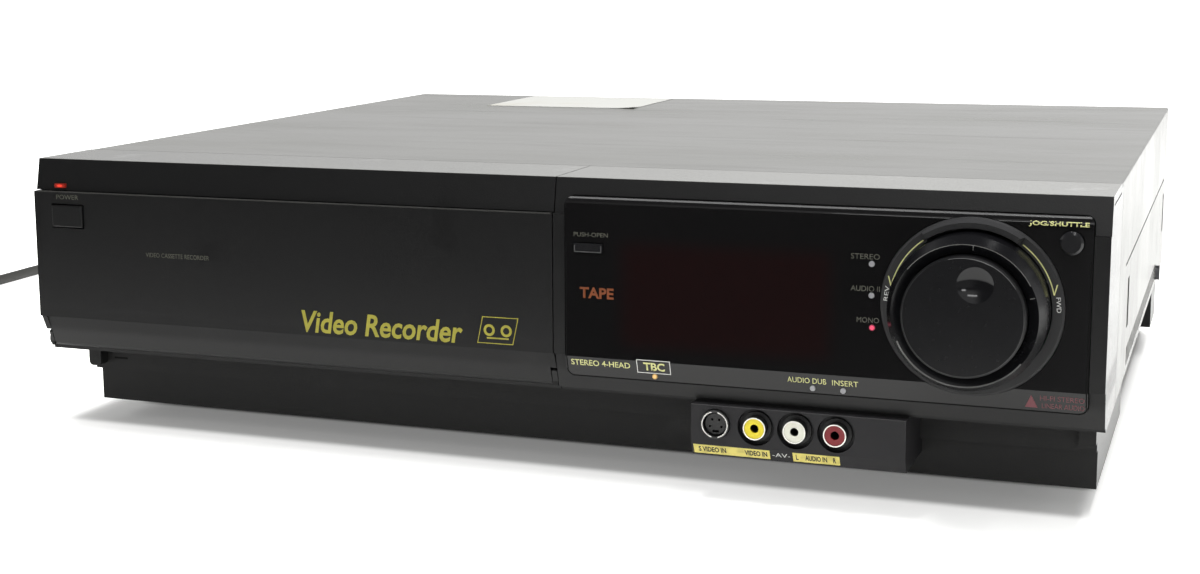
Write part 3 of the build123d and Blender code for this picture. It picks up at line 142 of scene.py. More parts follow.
# %% The lead as one spline
lead_curve = bpy.data.curves.new("mains_lead", "CURVE")
lead_curve.dimensions = "3D"
lead_curve.bevel_depth = 1.0
lead_curve.bevel_resolution = 4
lead_curve.resolution_u = 6
lead_curve.use_fill_caps = True
lead_spline = lead_curve.splines.new("NURBS")
lead_spline.points.add(len(lead_points) - 1)
for control, place in zip(lead_spline.points, lead_points):
    control.co = (*place, 1)
    control.radius = LEAD / 2
lead_spline.order_u = 3
lead_spline.use_endpoint_u = True
lead = bpy.data.objects.new("mains_lead", lead_curve)
bpy.context.scene.collection.objects.link(lead)
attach(lead, "case")
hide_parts("power_cord", "cord_coil")
bpy.context.view_layer.update()
run = bpy.data.meshes.new_from_object(lead)
print("lead faces", len(run.polygons))
bpy.data.meshes.remove(run)

# %% [markdown]
# ## Shader arithmetic
# A finish is a small graph of nodes. Written as Python, a wire between nodes is an object that can be
# added, multiplied and compared, and every other node comes from one method of the same class.

# %% A wire between shader nodes
class Wire:
    """One output socket of a node tree. Sums and products of wires add the Math nodes they need."""

    def __init__(self, tree, socket=None):
        self.tree = tree
        self.socket = socket

    def node(self, kind, settings=None, sockets=None, out=0):
        """Add a node: its settings first, then the values or wires of its sockets."""
        made = self.tree.nodes.new(kind)
        for name, value in (settings or {}).items():
            setattr(made, name, value)
        for name, value in (sockets or {}).items():
            if isinstance(value, Wire):
                self.tree.links.new(value.socket, made.inputs[name])
            else:
                made.inputs[name].default_value = value
        return Wire(self.tree, made.outputs[out] if made.outputs else None)

    def maths(self, operation, *terms):
        return self.node("ShaderNodeMath", {"operation": operation}, dict(enumerate(terms)))

    def __add__(self, other):
        return self.maths("ADD", self, other)

    def __radd__(self, other):
        return self.maths("ADD", other, self)

    def __sub__(self, other):
        return self.maths("SUBTRACT", self, other)

    def __rsub__(self, other):
        return self.maths("SUBTRACT", other, self)

    def __mul__(self, other):
        return self.maths("MULTIPLY", self, other)

    def __rmul__(self, other):
        return self.maths("MULTIPLY", other, self)


# %% [markdown]
# A mask is a number that is 1 where something is and 0 elsewhere. A band between two positions,
# with a soft edge, is the mask that most of these finishes are built from.

# %% Masks, noise and blends
def axes(place):
    """The three coordinates of a surface point, as wires."""
    return [place.node("ShaderNodeSeparateXYZ", {}, {0: place}, out) for out in range(3)]


def edge(value, start, end):
    """0 before start, 1 after end, smooth between them."""
    return value.node("ShaderNodeMapRange", {"interpolation_type": "SMOOTHSTEP"}, {
        "Value": value, "From Min": start, "From Max": end, "To Min": 0.0, "To Max": 1.0})


def band(value, low, high, soft):
    return edge(value, low - soft, low) * (1 - edge(value, high, high + soft))


def grain(place, scale, detail=2.0, rough=0.5, stretch=(1, 1, 1)):
    """Noise in the object's own coordinates, from 0 to 1; stretch makes streaks."""
    spread = place.node("ShaderNodeMapping", {}, {"Vector": place, "Scale": stretch})
    return place.node("ShaderNodeTexNoise", {}, {
        "Vector": spread, "Scale": scale, "Detail": detail, "Roughness": rough})


def blend(mask, under, over):
    """The colour under, with the colour over laid on it where the mask is."""
    colours = [value if isinstance(value, Wire) else (*value, 1) for value in (under, over)]
    return mask.node("ShaderNodeMix", {"data_type": "RGBA"}, {0: mask, 6: colours[0], 7: colours[1]}, 2)


def bump(height, strength, distance):
    return height.node("ShaderNodeBump", {}, {"Height": height, "Strength": strength, "Distance": distance})


# %% A finish becomes a material
finishes = {}


def finish(name, **constants):
    """Turns a function of the surface point into a material; constants sit on the shader's sockets."""
    def build(paint):
        material = bpy.data.materials.new(name)
        material.use_nodes = True
        tree = material.node_tree
        tree.nodes.clear()
        start = Wire(tree)
        place = start.node("ShaderNodeTexCoord", {}, {}, "Object")
        sockets = {key.replace("_", " "): value for key, value in constants.items()}
        sockets.update(paint(place))
        surface = start.node("ShaderNodeBsdfPrincipled", {}, sockets)
        start.node("ShaderNodeOutputMaterial", {}, {"Surface": surface})
        finishes[name] = material
        return material
    return build


# %% [markdown]
# ## Moulded plastic
# The front is injection-moulded in dark grey. Its surface is a fine spark-eroded texture: tiny
# even grains that break up a reflection. On top lie a slow drift of tone from the moulding and the
# faint polish that fingers leave. The skirt below the front has the same texture, a touch warmer.

# %% Textured mouldings
COVER_TOP = 0.1188
SOCKET_FACE, REAR_FACE = spot(0, -5.4, 0).y, spot(0, 377.0, 0).y
DOOR_RIGHT = 0.0155
CHIN_LOW, CHIN_HIGH = 0.0490, 0.0545
# Tone of a painted highlight line along the front's ridge.
RIDGE_HIGHLIGHT_TONE = (0.038, 0.038, 0.036)
# Tone of the painted shade inside a socket's bore.
BORE_SHADE_TONE = (0.012, 0.010, 0.008)
INSIDE_SOCKET = 0.0016


def moulding(name, tone, rough, texture=0.35, gloss=0.5, dust=None, rim=None, sides=None, bore=False):
    """Dust is a height and a tone: above that height the top faces turn lighter, partly dust and partly
    painted light on the lit top, lighter towards the right; rim is a height along which a painted
    highlight line runs; sides is how far out it is smooth; bore paints the inside of a socket dark as
    painted shade, whichever way the socket faces."""
    @finish(name, Specular_IOR_Level=gloss)
    def paint(place):
        x, y, z = axes(place)
        tooth = grain(place, 1500, 3.0, 0.6)
        drift = grain(place, 14, 3.0)
        touched = edge(grain(place, 34, 4.0, 0.65), 0.56, 0.74)
        dark = [value * 0.82 for value in tone]
        light = [min(1, value * 1.25) for value in tone]
        colour = blend(drift * 0.6 + tooth * 0.4, dark, light)
        dull = rough + 0.10 * tooth - 0.09 * touched
        if dust:
            # Above the dust height the top faces are lighter: partly dust, partly painted light where the top
            # is lit, growing lighter towards the right end.
            lying = edge(z, dust[0], dust[0] + 0.0002)
            brighter_to_right = drift * 0.3 + edge(x, -0.20, 0.20) * 0.7
            thin, thick = ([value * share for value in dust[1]] for share in (0.60, 1.45))
            colour = blend(lying, colour, blend(brighter_to_right, thin, thick))
            dull = dull - 0.16 * lying
        if rim:
            # A painted highlight: a thin lighter line just under the rim height, left of the door's right
            # end.
            ridge_highlight = band(z, rim - 0.0004, rim, 0.00015) * (1 - edge(x, DOOR_RIGHT, DOOR_RIGHT + 0.0005))
            colour = blend(ridge_highlight, colour, RIDGE_HIGHLIGHT_TONE)
            dull = dull + 0.22 * band(z, CHIN_LOW, CHIN_HIGH, 0.0045)
        if bore:
            # Painted shade: the insert's surface deeper inside the bore than its face is painted dark.
            bore_shade = band(y, SOCKET_FACE + INSIDE_SOCKET, REAR_FACE - INSIDE_SOCKET, 0.0006)
            colour = blend(bore_shade, colour, BORE_SHADE_TONE)
        if sides:
            flank = edge(x, sides, sides + 0.0001)
            dull = dull * (1 - 0.55 * flank)
        return {"Base Color": colour, "Roughness": dull, "Normal": bump(tooth, texture, 0.00012)}
    return paint


# Both dust tones below stand for dust and for painted light on the lit tops.
# The rim height below places a painted highlight line along the front's ridge.
moulding("front_moulding", (0.0050, 0.0050, 0.0051), 0.34, gloss=0.33,
         dust=(COVER_TOP, (0.120, 0.120, 0.112)), rim=0.1060, sides=0.2148)
moulding("housing_moulding", (0.0095, 0.0090, 0.0104), 0.50, gloss=0.35, dust=(0.0373, (0.036, 0.035, 0.037)))
moulding("skirt_moulding", (0.0050, 0.0050, 0.0047), 0.58, gloss=0.35, sides=0.2106)
moulding("key_moulding", (0.020, 0.020, 0.021), 0.42, 0.2)
moulding("flap_moulding", (0.013, 0.013, 0.014), 0.40, 0.2)
moulding("socket_moulding", (0.012, 0.012, 0.012), 0.45, 0.1)
moulding("jack_yellow", (0.74, 0.61, 0.02), 0.35, 0.05, bore=True)
moulding("jack_white", (0.70, 0.70, 0.60), 0.35, 0.05, bore=True)
moulding("jack_red", (0.19, 0.005, 0.009), 0.35, 0.05, bore=True)
moulding("reel_moulding", (0.55, 0.55, 0.52), 0.4, 0.1)
moulding("plug_vinyl", (0.10, 0.10, 0.097), 0.5, 0.1)

# %% [markdown]
# ## Painted sheet steel
# The cover is bent sheet steel with a baked satin paint. Stacked equipment and wiping leave long
# faint scuffs on the top, mostly from side to side.

# %% Cover and rear panel
COVER_SIDE = 0.2147


def sheet_paint(name, tone, rough, sides=0.0):
    """Sides is how much rougher the two upright sides are, where dust and hands have dulled them."""
    @finish(name)
    def paint(place):
        x, y, z = axes(place)
        flank = edge(x.maths("ABSOLUTE", x), COVER_SIDE, COVER_SIDE + 0.0002)
        orange_peel = grain(place, 900, 2.0)
        smear = grain(place, 9, 5.0, 0.62, (0.5, 1.6, 1))
        scuff = edge(grain(place, 60, 4.0, 0.6, (0.16, 1.5, 1)), 0.50, 0.85)
        dust = edge(smear, 0.36, 0.80)
        worn = blend(dust, tone, [value * 1.22 + 0.004 for value in tone])
        return {
            "Base Color": blend(scuff * 0.4, worn, [value * 0.78 for value in tone]),
            "Roughness": rough + 0.07 * dust + 0.05 * scuff + sides * flank,
            "Normal": bump(orange_peel, 0.22, 0.00008)}
    return paint


sheet_paint("cover_paint", (0.070, 0.070, 0.062), 0.22, sides=-0.02)
sheet_paint("panel_paint", (0.040, 0.040, 0.040), 0.42)

# %% [markdown]
# ## Metals
# Plated steel, turned aluminium and nickel differ in how fine their scratches run and how much
# they blur. A turned face has rings, so its roughness follows the distance from its axis.

# %% Plated, turned and plain metal
def metal(name, tone, rough, stretch=(1, 1, 1), scale=260):
    @finish(name, Metallic=1.0)
    def paint(place):
        brushed = grain(place, scale, 4.0, 0.6, stretch)
        cloud = grain(place, 22, 3.0)
        return {
            "Base Color": blend(cloud, [value * 0.86 for value in tone], tone),
            "Roughness": rough + 0.14 * brushed,
            "Normal": bump(brushed, 0.10, 0.0001)}
    return paint


metal("plated_steel", (0.60, 0.60, 0.57), 0.30, (0.2, 3, 1))
metal("black_steel", (0.10, 0.10, 0.105), 0.34)
metal("trim_nickel", (0.66, 0.65, 0.62), 0.30)
metal("turned_aluminium", (0.80, 0.80, 0.81), 0.18, (0.3, 0.3, 9), 120)

# %% [markdown]
# A socket's shell is nickel where the plug touches it. Here its flange and sleeve are blackened, and
# only the rim at the very front is bare metal, so one mask along the depth axis switches both the
# colour and the metallic value.

# %% Socket shells
@finish("socket_nickel")
def shell_paint(place):
    x, y, z = axes(place)
    bare = 1 - band(y, SOCKET_FACE + 0.0005, 0.0, 0.0001)
    worn = grain(place, 300, 3.0)
    return {
        "Base Color": blend(bare, (0.006, 0.006, 0.006), (0.78, 0.77, 0.72)),
        "Metallic": bare,
        "Roughness": 0.50 - 0.26 * bare + 0.10 * worn,
        "Normal": bump(worn, 0.08, 0.00008)}


# %% [markdown]
# ## Rubber, vinyl and the lead
# Rubber is nearly black and dull. The lead's vinyl is a mid grey with a soft sheen and slight
# mottling where it has been handled and wiped.

# %% Rubber and vinyl
def soft_skin(name, tone, rough):
    @finish(name)
    def paint(place):
        mottle = grain(place, 120, 3.0)
        dust = edge(grain(place, 30, 4.0), 0.5, 0.75)
        return {
            "Base Color": blend(dust * 0.5, tone, [value * 1.5 + 0.01 for value in tone]),
            "Roughness": rough + 0.12 * mottle,
            "Normal": bump(mottle, 0.12, 0.0002)}
    return paint


soft_skin("foot_rubber", (0.018, 0.018, 0.018), 0.7)
soft_skin("roller_rubber", (0.022, 0.022, 0.022), 0.55)
soft_skin("lead_vinyl", (0.030, 0.030, 0.027), 0.50)

# %% [markdown]
# ## Polished black and the dial
# The display window is smoked acrylic: black, very smooth, with a hint of red where the display's
# filter lies behind it. Two or three wiping marks keep it from looking like a perfect mirror.

# %% Window, dial and clear plastics
@finish("smoked_acrylic", IOR=1.46)
def window_paint(place):
    x, y, z = axes(place)
    filter_zone = band(x, 0.049, 0.116, 0.010) * band(z, 0.062, 0.092, 0.008)
    wiped = edge(grain(place, 26, 4.0, 0.6, (1, 1, 0.5)), 0.55, 0.80)
    # A painted highlight: a thin light grey line along the window's top edge.
    bevel = band(z, 0.11180, 0.11215, 0.0002)
    black = blend(filter_zone, (0.0042, 0.0040, 0.0042), (0.0075, 0.0026, 0.0027))
    return {
        "Base Color": blend(bevel, black, (0.10, 0.10, 0.10)),
        "Roughness": 0.05 + 0.05 * wiped}


def polished(name, tone, rough, ior=1.5):
    @finish(name, IOR=ior)
    def paint(place):
        hairline = grain(place, 700, 3.0)
        handled = edge(grain(place, 90, 4.0, 0.6), 0.52, 0.76)
        return {
            "Base Color": blend(handled * 0.5, tone, [value * 1.35 + 0.001 for value in tone]),
            "Roughness": rough + 0.05 * hairline + 0.10 * handled,
            "Normal": bump(hairline, 0.05, 0.00006)}
    return paint


polished("dial_gloss", (0.0035, 0.0035, 0.0042), 0.20, 1.37)
polished("ring_satin", (0.0260, 0.0260, 0.0268), 0.45, 1.32)
polished("button_gloss", (0.0085, 0.0085, 0.0095), 0.20)
polished("light_pipe", (0.30, 0.30, 0.31), 0.20)
polished("print_black", (0.004, 0.004, 0.004), 0.4)

# %% [markdown]
# The jog dial's face has one finger dimple. The face is satin, its outer edge is duller, and the
# dimple is polished by use, so the roughness follows the distance from the axis and from the dimple.

# %% The jog dial
DIAL = (170.16, 80.0)
DIMPLE = (174.06, 91.2)


def radius_from(place, middle):
    """How far a point is from a line that runs front to back, in metres."""
    flat = place.node("ShaderNodeMapping", {}, {
        "Vector": place, "Scale": (1, 0, 1), "Location": (-middle[0] / 1000, 0, -middle[1] / 1000)})
    return flat.node("ShaderNodeVectorMath", {"operation": "LENGTH"}, {0: flat}, "Value")


@finish("dial_satin", IOR=1.42)
def jog_paint(place):
    hairline = grain(place, 700, 3.0)
    outside = edge(radius_from(place, DIAL), 0.0199, 0.0202)
    dimple = 1 - edge(radius_from(place, DIMPLE), 0.0059, 0.0062)
    return {
        "Base Color": blend(outside, (0.0045, 0.0045, 0.0052), (0.0025, 0.0025, 0.0030)),
        "Roughness": 0.24 + 0.05 * hairline + 0.36 * outside - 0.18 * dimple,
        "Normal": bump(hairline, 0.03, 0.00004)}


# %% [markdown]
# ## Lamps
# A lit lamp is a small rod that glows at its tip. The glow is brighter in the middle, so it is a
# round falloff about the rod's own axis.

# %% Lit lamps
def lamp(name, tone, middle, reach, strength, flatness=1.0):
    @finish(name, Emission_Strength=strength, Roughness=0.3)
    def paint(place):
        centred = place.node("ShaderNodeMapping", {}, {
            "Vector": place, "Scale": (1, 1, flatness),
            "Location": (-middle.x, -middle.y, -flatness * middle.z)})
        far = centred.node("ShaderNodeVectorMath", {"operation": "LENGTH"}, {0: centred}, "Value")
        glow = 1 - edge(far, 0.3 * reach, reach)
        return {
            "Base Color": (*[value * 0.15 for value in tone], 1),
            "Emission Color": blend(glow, [value * 0.10 for value in tone], tone)}
    return paint


lamp("lamp_red", (1.0, 0.10, 0.20), spot(136.3, -5.3, 70.6), 0.0012, 1.0)
lamp("lamp_amber", (1.0, 0.62, 0.22), spot(56.3, -4.0, 46.8), 0.0012, 0.9)
lamp("lamp_power", (1.0, 0.06, 0.03), spot(-203, -3.0, 108.1), 0.0021, 1.0, 2.6)

# %% [markdown]
# ## Boards and glass
# Behind the flap and the vents are the circuit boards and the display tube. The board's green
# resist shows its copper tracks as slightly raised lines, here a grid of bands broken up by noise.

# %% Boards and the display tube
def board(name, resist, track):
    @finish(name)
    def paint(place):
        x, y, z = axes(place)
        lines = []
        for value, pitch in ((x, 420.0), (y, 360.0)):
            wave = value.maths("PINGPONG", value * pitch, 1.0)
            lines.append(edge(wave, 0.62, 0.70))
        routed = edge(grain(place, 60, 2.0), 0.48, 0.50)
        copper = lines[0] * routed + lines[1] * (1 - routed)
        return {
            "Base Color": blend(copper, resist, track),
            "Roughness": 0.32 + 0.12 * grain(place, 300, 2.0),
            "Normal": bump(copper, 0.3, 0.00005)}
    return paint


board("board_green", (0.012, 0.075, 0.028), (0.028, 0.14, 0.055))
board("board_brown", (0.17, 0.095, 0.038), (0.24, 0.14, 0.06))
polished("tube_glass", (0.03, 0.05, 0.05), 0.08)

# %% Dress every solid piece
wardrobe = {
    "front_moulding": "bezel_left bezel_right front_door power_button",
    "housing_moulding": "jack_housing",
    "skirt_moulding": "front_skirt base_tray control_panel",
    "flap_moulding": "cassette_flap",
    "key_moulding": "eject_key rewind_key stop_key play_key fast_forward_key pause_key record_key "
                    "left_level_knob right_level_knob",
    "cover_paint": "top_cover",
    "panel_paint": "rear_panel",
    "black_steel": "cover_screws",
    "foot_rubber": "feet",
    "smoked_acrylic": "display_window",
    "board_green": "display_board main_board",
    "board_brown": "power_supply",
    "tube_glass": "fluorescent_display",
    "light_pipe": "unlit_light_pipes",
    "lamp_red": "red_light_pipe",
    "lamp_amber": "amber_light_pipe",
    "lamp_power": "power_lamp",
    "ring_satin": "dial_surround",
    "dial_gloss": "shuttle_ring",
    "dial_satin": "jog_dial",
    "button_gloss": "mode_button door_release_button",
    "socket_nickel": "jack_shells",
    "jack_yellow": "yellow_inserts",
    "jack_white": "white_inserts",
    "jack_red": "red_inserts",
    "socket_moulding": "s_video_jacks dial_encoder",
    "plated_steel": "tuner deck_plate carriage_sides cassette_carriage capstan_motor capstan "
                    "pinch_roller_arm tension_arm audio_control_head",
    "reel_moulding": "supply_reel_table takeup_reel_table",
    "turned_aluminium": "lower_drum upper_drum",
    "roller_rubber": "pinch_roller",
    "plug_vinyl": "cord_strain_relief power_plug power_cord cord_coil"}


def wear(piece, material):
    piece.data.materials.clear()
    piece.data.materials.append(finishes[material])


for material, names in wardrobe.items():
    for name in names.split():
        wear(nodes[name], material)
lead_curve.materials.append(finishes["lead_vinyl"])
print("dressed", sum(len(names.split()) for names in wardrobe.values()), "of", len(nodes))

# %% [markdown]
# ## The table and the light
# The table is plain and white. It takes the shadow as any matt surface does, and to the camera and
# to reflections it adds a steady white away from the case, so that it reads as a bright sheet. That
# white is left out under the case, and for the camera also in a strip around it, which paints a
# shadow there. The lower end of a reflection in the front is the dim room instead. The lamps are
# wide and soft: one overhead, one low at the far right that grazes the side, and a weak one for the
# front.

# %% Table
stage_mesh = bpy.data.meshes.new("table")
sheet = bmesh.new()
bmesh.ops.create_grid(sheet, x_segments=1, y_segments=1, size=12)
sheet.to_mesh(stage_mesh)
sheet.free()
table_top = bpy.data.objects.new("table", stage_mesh)
bpy.context.scene.collection.objects.link(table_top)
# Under the case the white glow is left out, and in the strip around it the camera's glow too: a painted
# shadow on the table.
CASE_ACROSS, CASE_AWAY = (-0.209, 0.205), (-0.112, 0.19)       # the floor straight under the case
SHADE_ACROSS, SHADE_AWAY = (-0.222, 0.203), (-0.146, 0.19)     # and where its shade lies


def table_paint():
    paint = bpy.data.materials.new("table_white")
    paint.use_nodes = True
    paint.node_tree.nodes.clear()
    tree = Wire(paint.node_tree)
    place = tree.node("ShaderNodeTexCoord", {}, {}, "Object")
    rays = {name: tree.node("ShaderNodeLightPath", {}, {}, f"Is {name} Ray")
            for name in ("Camera", "Glossy", "Transmission")}
    shown = tree.maths("MINIMUM", rays["Camera"] + rays["Glossy"] + rays["Transmission"], 1.0)
    matt = tree.node("ShaderNodeBsdfDiffuse", {}, {"Color": (0.80, 0.80, 0.785, 1)})
    across, away, up = axes(place)
    reach = place.node("ShaderNodeVectorMath", {"operation": "LENGTH"}, {0: place}, "Value")
    under = band(across, *CASE_ACROSS, 0.006) * band(away, *CASE_AWAY, 0.006)
    shade = band(across, *SHADE_ACROSS, 0.010) * band(away, *SHADE_AWAY, 0.009)
    # Painted shadow: the glow is cut under the case and, for the camera, in the shade strip.
    steady = shown * (0.20 * (1 - under) + 0.60 * edge(reach, 0.45, 1.10))
    steady = steady + 0.48 * rays["Camera"] * (1 - shade)
    white = tree.node("ShaderNodeEmission", {}, {"Color": (1, 1, 0.99, 1), "Strength": steady})
    lit = tree.node("ShaderNodeAddShader", {}, {0: matt, 1: white})
    room = tree.node("ShaderNodeEmission", {}, {"Strength": edge(across, 0.02, 0.30) * 0.28 + 0.065})
    near = 1 - edge(away, -0.41, -0.37)
    both = tree.node("ShaderNodeMixShader", {}, {0: near * rays["Glossy"], 1: lit, 2: room})
    tree.node("ShaderNodeOutputMaterial", {}, {"Surface": both})
    return paint


stage_mesh.materials.append(table_paint())

# %% [markdown]
# ## Surroundings
# The room is bright behind the recorder and dim behind the camera, so the front reflects little
# while the cover and the right side, both seen at a flat angle, shine.

# %% Surroundings
world = bpy.data.worlds.new("studio")
bpy.context.scene.world = world
world.use_nodes = True
world.node_tree.nodes.clear()
sky = Wire(world.node_tree)
toward = sky.node("ShaderNodeTexCoord", {}, {}, "Generated")
rays = {name: sky.node("ShaderNodeLightPath", {}, {}, f"Is {name} Ray")
        for name in ("Camera", "Glossy", "Transmission")}
bright = sky.maths("MINIMUM", rays["Camera"] + rays["Transmission"], 1.0)
across, away, up = axes(toward)
wall = edge(away, -0.30, 0.10) * (1 - edge(up, 0.40, 0.75)) * (0.72 + 0.20 * edge(across, -0.60, 0.05))
window = edge(across, -0.55, 0.05) * edge(up, 0.02, 0.25) * (1 - edge(away, -0.60, -0.30))
behind = wall + 0.08 + window * 0.8
level = 0.42 * (1 - bright) * (1 - rays["Glossy"]) + bright + behind * rays["Glossy"] * (1 - bright)
backdrop = sky.node("ShaderNodeBackground", {}, {"Color": (1, 1, 1, 1), "Strength": level})
sky.node("ShaderNodeOutputWorld", {}, {"Surface": backdrop})
bpy.context.scene.view_settings.view_transform = "Standard"


# %% Lamps over the table
def softbox(name, place, aim, width, height, power, mirrored=True, lights=True):
    """Mirrored lamps show in gloss; a lamp that doesn't light only shows there."""
    data = bpy.data.lights.new(name, "AREA")
    data.shape = "RECTANGLE"
    data.size = width
    data.size_y = height
    data.energy = power
    box = bpy.data.objects.new(name, data)
    box.location = place
    box.rotation_euler = (Vector(aim) - Vector(place)).to_track_quat("-Z", "Y").to_euler()
    box.visible_glossy = mirrored
    box.visible_diffuse = lights
    bpy.context.scene.collection.objects.link(box)


softbox("overhead", (0.1, -0.13, 1.8), (0, -0.1, 0), 1.7, 0.22, 52, mirrored=False)
softbox("far_right", (1.9, 1.0, 0.55), (0.15, 0, 0.06), 1.4, 1.0, 13, mirrored=False)
softbox("front_fill", (-1.4, -1.6, 1.3), (0, 0, 0.05), 1.2, 1.0, 3, mirrored=False)
for name, depth in (("near_tube", -0.75), ("far_tube", -0.15)):
    softbox(name, (0.6, depth, 1.7), (0.1, depth, 0), 1.6, 0.07, 5)
softbox("ahead_lamp", (0.21, -2.95, 1.29), (0.17, -0.2, 0.09), 1.5, 0.25, 9, lights=False)
softbox("right_lamp", (1.54, -2.85, 0.46), (0.17, -0.2, 0.09), 0.6, 0.25, 4, lights=False)

# %% [markdown]
# ## Printing
# Words, lines and symbols are thin flat meshes laid on the moulding they belong to. Each one is drawn
# flat first, in millimetres across and up, and then dropped onto its host along the depth axis, so
# that it follows a slope or a curve. Words become meshes before they are placed.

# %% Inks
inks = {
    "ink_yellow": ((0.34, 0.31, 0.030), 0.0),
    "ink_lime": ((0.62, 0.62, 0.26), 0.0),
    "ink_dim": ((0.085, 0.085, 0.065), 0.0),
    # A grey for painted highlights along edges.
    "ink_grey": ((0.065, 0.065, 0.065), 0.0),
    "ink_white": ((0.62, 0.62, 0.60), 0.0),
    # A lighter grey for painted highlights and the short strokes on the shuttle ring.
    "ink_worn": ((0.15, 0.15, 0.145), 0.0),
    "ink_red": ((0.13, 0.026, 0.034), 0.0),
    "ink_strip": ((0.76, 0.66, 0.17), 0.0),
    "ink_lit": ((0.13, 0.030, 0.004), 0.55)}


def ink(name, tone, glow):
    @finish(name, Roughness=0.42, Emission_Strength=glow)
    def paint(place):
        thin = edge(grain(place, 260, 3.0), 0.25, 0.60)
        laid = blend(thin, [value * 0.78 for value in tone], tone)
        return {"Base Color": laid, "Emission Color": laid}


for name, (tone, glow) in inks.items():
    ink(name, tone, glow)


# A dull black that paints the shade in a gap or a slot.
@finish("seal_black", Specular_IOR_Level=0.1)
def gap_shadow_paint(place):
    return {"Base Color": (0.003, 0.003, 0.003, 1), "Roughness": 0.5 + 0.2 * grain(place, 400)}


# %% Flat artwork
MM = 0.001
PROUD = 0.06 * MM
CHIN = 52.6                   # height at which the front starts to slope back, in millimetres
sheets = {}


def sheet_for(body, host, material, side=1):
    """The flat drawing that collects all prints of one ink on one piece; side is -1 at the rear."""
    key = (body, host, material, side)
    if key not in sheets:
        sheets[key] = bmesh.new()
    return sheets[key]


def draw_words(sheet, words, left, right, low, high, shear=0.0, weight=0.0, turn=0.0):
    """Words fitted into a box, in millimetres; turn rotates them about the box's middle."""
    curve = bpy.data.curves.new("words", "FONT")
    curve.body = words
    curve.shear = shear
    curve.offset = weight
    curve.resolution_u = 3
    holder = bpy.data.objects.new("words", curve)
    flat = bpy.data.meshes.new_from_object(holder)
    bpy.data.objects.remove(holder)
    bpy.data.curves.remove(curve)
    first = len(sheet.verts)
    sheet.from_mesh(flat)
    bpy.data.meshes.remove(flat)
    sheet.verts.ensure_lookup_table()
    fresh = sheet.verts[first:]
    spans = [(min(vert.co[axis] for vert in fresh), max(vert.co[axis] for vert in fresh)) for axis in (0, 1)]
    middle = Vector(((left + right) / 2, (low + high) / 2, 0))
    for vert in fresh:
        across = (vert.co.x - spans[0][0]) / (spans[0][1] - spans[0][0]) * (right - left) - (right - left) / 2
        up = (vert.co.y - spans[1][0]) / (spans[1][1] - spans[1][0]) * (high - low) - (high - low) / 2
        vert.co = middle + Matrix.Rotation(turn, 3, "Z") @ Vector((across, up, 0))


def draw_outline(sheet, corners, width):
    """A closed line of even width through the corners."""
    outer = sheet.faces.new([sheet.verts.new((x, z, 0)) for x, z in corners])
    outer.normal_update()
    bmesh.ops.inset_individual(sheet, faces=[outer], thickness=width)
    bmesh.ops.delete(sheet, geom=[outer], context="FACES_ONLY")


def draw_shape(sheet, corners):
    sheet.faces.new([sheet.verts.new((x, z, 0)) for x, z in corners])


def draw_box(sheet, left, right, low, high):
    draw_shape(sheet, [(left, low), (right, low), (right, high), (left, high)])


def draw_stroke(sheet, start, end, width):
    along = (Vector(end) - Vector(start)).normalized() * width / 2
    corners = [(x + side * along.y, z - side * along.x) for x, z, side in
               ((*start, 1), (*end, 1), (*end, -1), (*start, -1))]
    draw_shape(sheet, corners)


def draw_arc(sheet, centre, inner, outer, start, end, steps):
    """Part of a ring; angles are clockwise from the top, in degrees."""
    rows = []
    for step in range(steps + 1):
        angle = math.radians(start + (end - start) * step / steps)
        aside, up = math.sin(angle), math.cos(angle)
        rows.append([sheet.verts.new((centre[0] + radius * aside, centre[1] + radius * up, 0))
                     for radius in (inner, outer)])
    for (a, b), (c, d) in zip(rows, rows[1:]):
        sheet.faces.new((a, b, d, c))


def lay_prints():
    """Drop every drawing onto its host and dress it in its ink."""
    for (body, host, material, side), sheet in sheets.items():
        bmesh.ops.triangulate(sheet, faces=sheet.faces)
        bmesh.ops.bisect_plane(sheet, geom=sheet.verts[:] + sheet.edges[:] + sheet.faces[:],
                               plane_co=(0, CHIN, 0), plane_no=(0, 1, 0))
        for vert in sheet.verts:
            across, up = side * vert.co.x * MM, vert.co.y * MM
            outside = Vector((across, -side, up))
            hit, place, normal, index = nodes[host].ray_cast(outside, Vector((0, side, 0)))
            if not hit:
                raise ValueError(f"a print for {host} misses it at {across:.4f}, {up:.4f}")
            vert.co = place + Vector((0, -side * PROUD, 0))
        bmesh.ops.recalc_face_normals(sheet, faces=sheet.faces)
        outward = sum(face.normal.y for face in sheet.faces) * side
        if outward > 0:
            bmesh.ops.reverse_faces(sheet, faces=sheet.faces)
        name = f"{host}_{material}" + ("_rear" if side < 0 else "")
        mesh = bpy.data.meshes.new(name)
        sheet.to_mesh(mesh)
        sheet.free()
        mesh.materials.append(finishes[material])
        print_piece = bpy.data.objects.new(name, mesh)
        bpy.context.scene.collection.objects.link(print_piece)
        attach(print_piece, body)
    print("laid", len(sheets), "prints")
    sheets.clear()


# %% [markdown]
# ## Words and marks on the front
# Every word names a control or a signal. The two wide places on the door carry a plain description of
# the machine and a plain tape symbol.

# %% On the door
door_yellow = sheet_for("front_door", "front_door", "ink_yellow")
door_dim = sheet_for("front_door", "front_door", "ink_dim")
draw_words(door_dim, "POWER", -203.9, -193.0, 102.7, 104.6)
draw_words(door_dim, "VIDEO CASSETTE RECORDER", -161.3, -131.4, 80.6, 82.4)
draw_words(door_yellow, "Video Recorder", -89.9, -20.2, 54.2, 63.0, shear=0.18, weight=0.02)

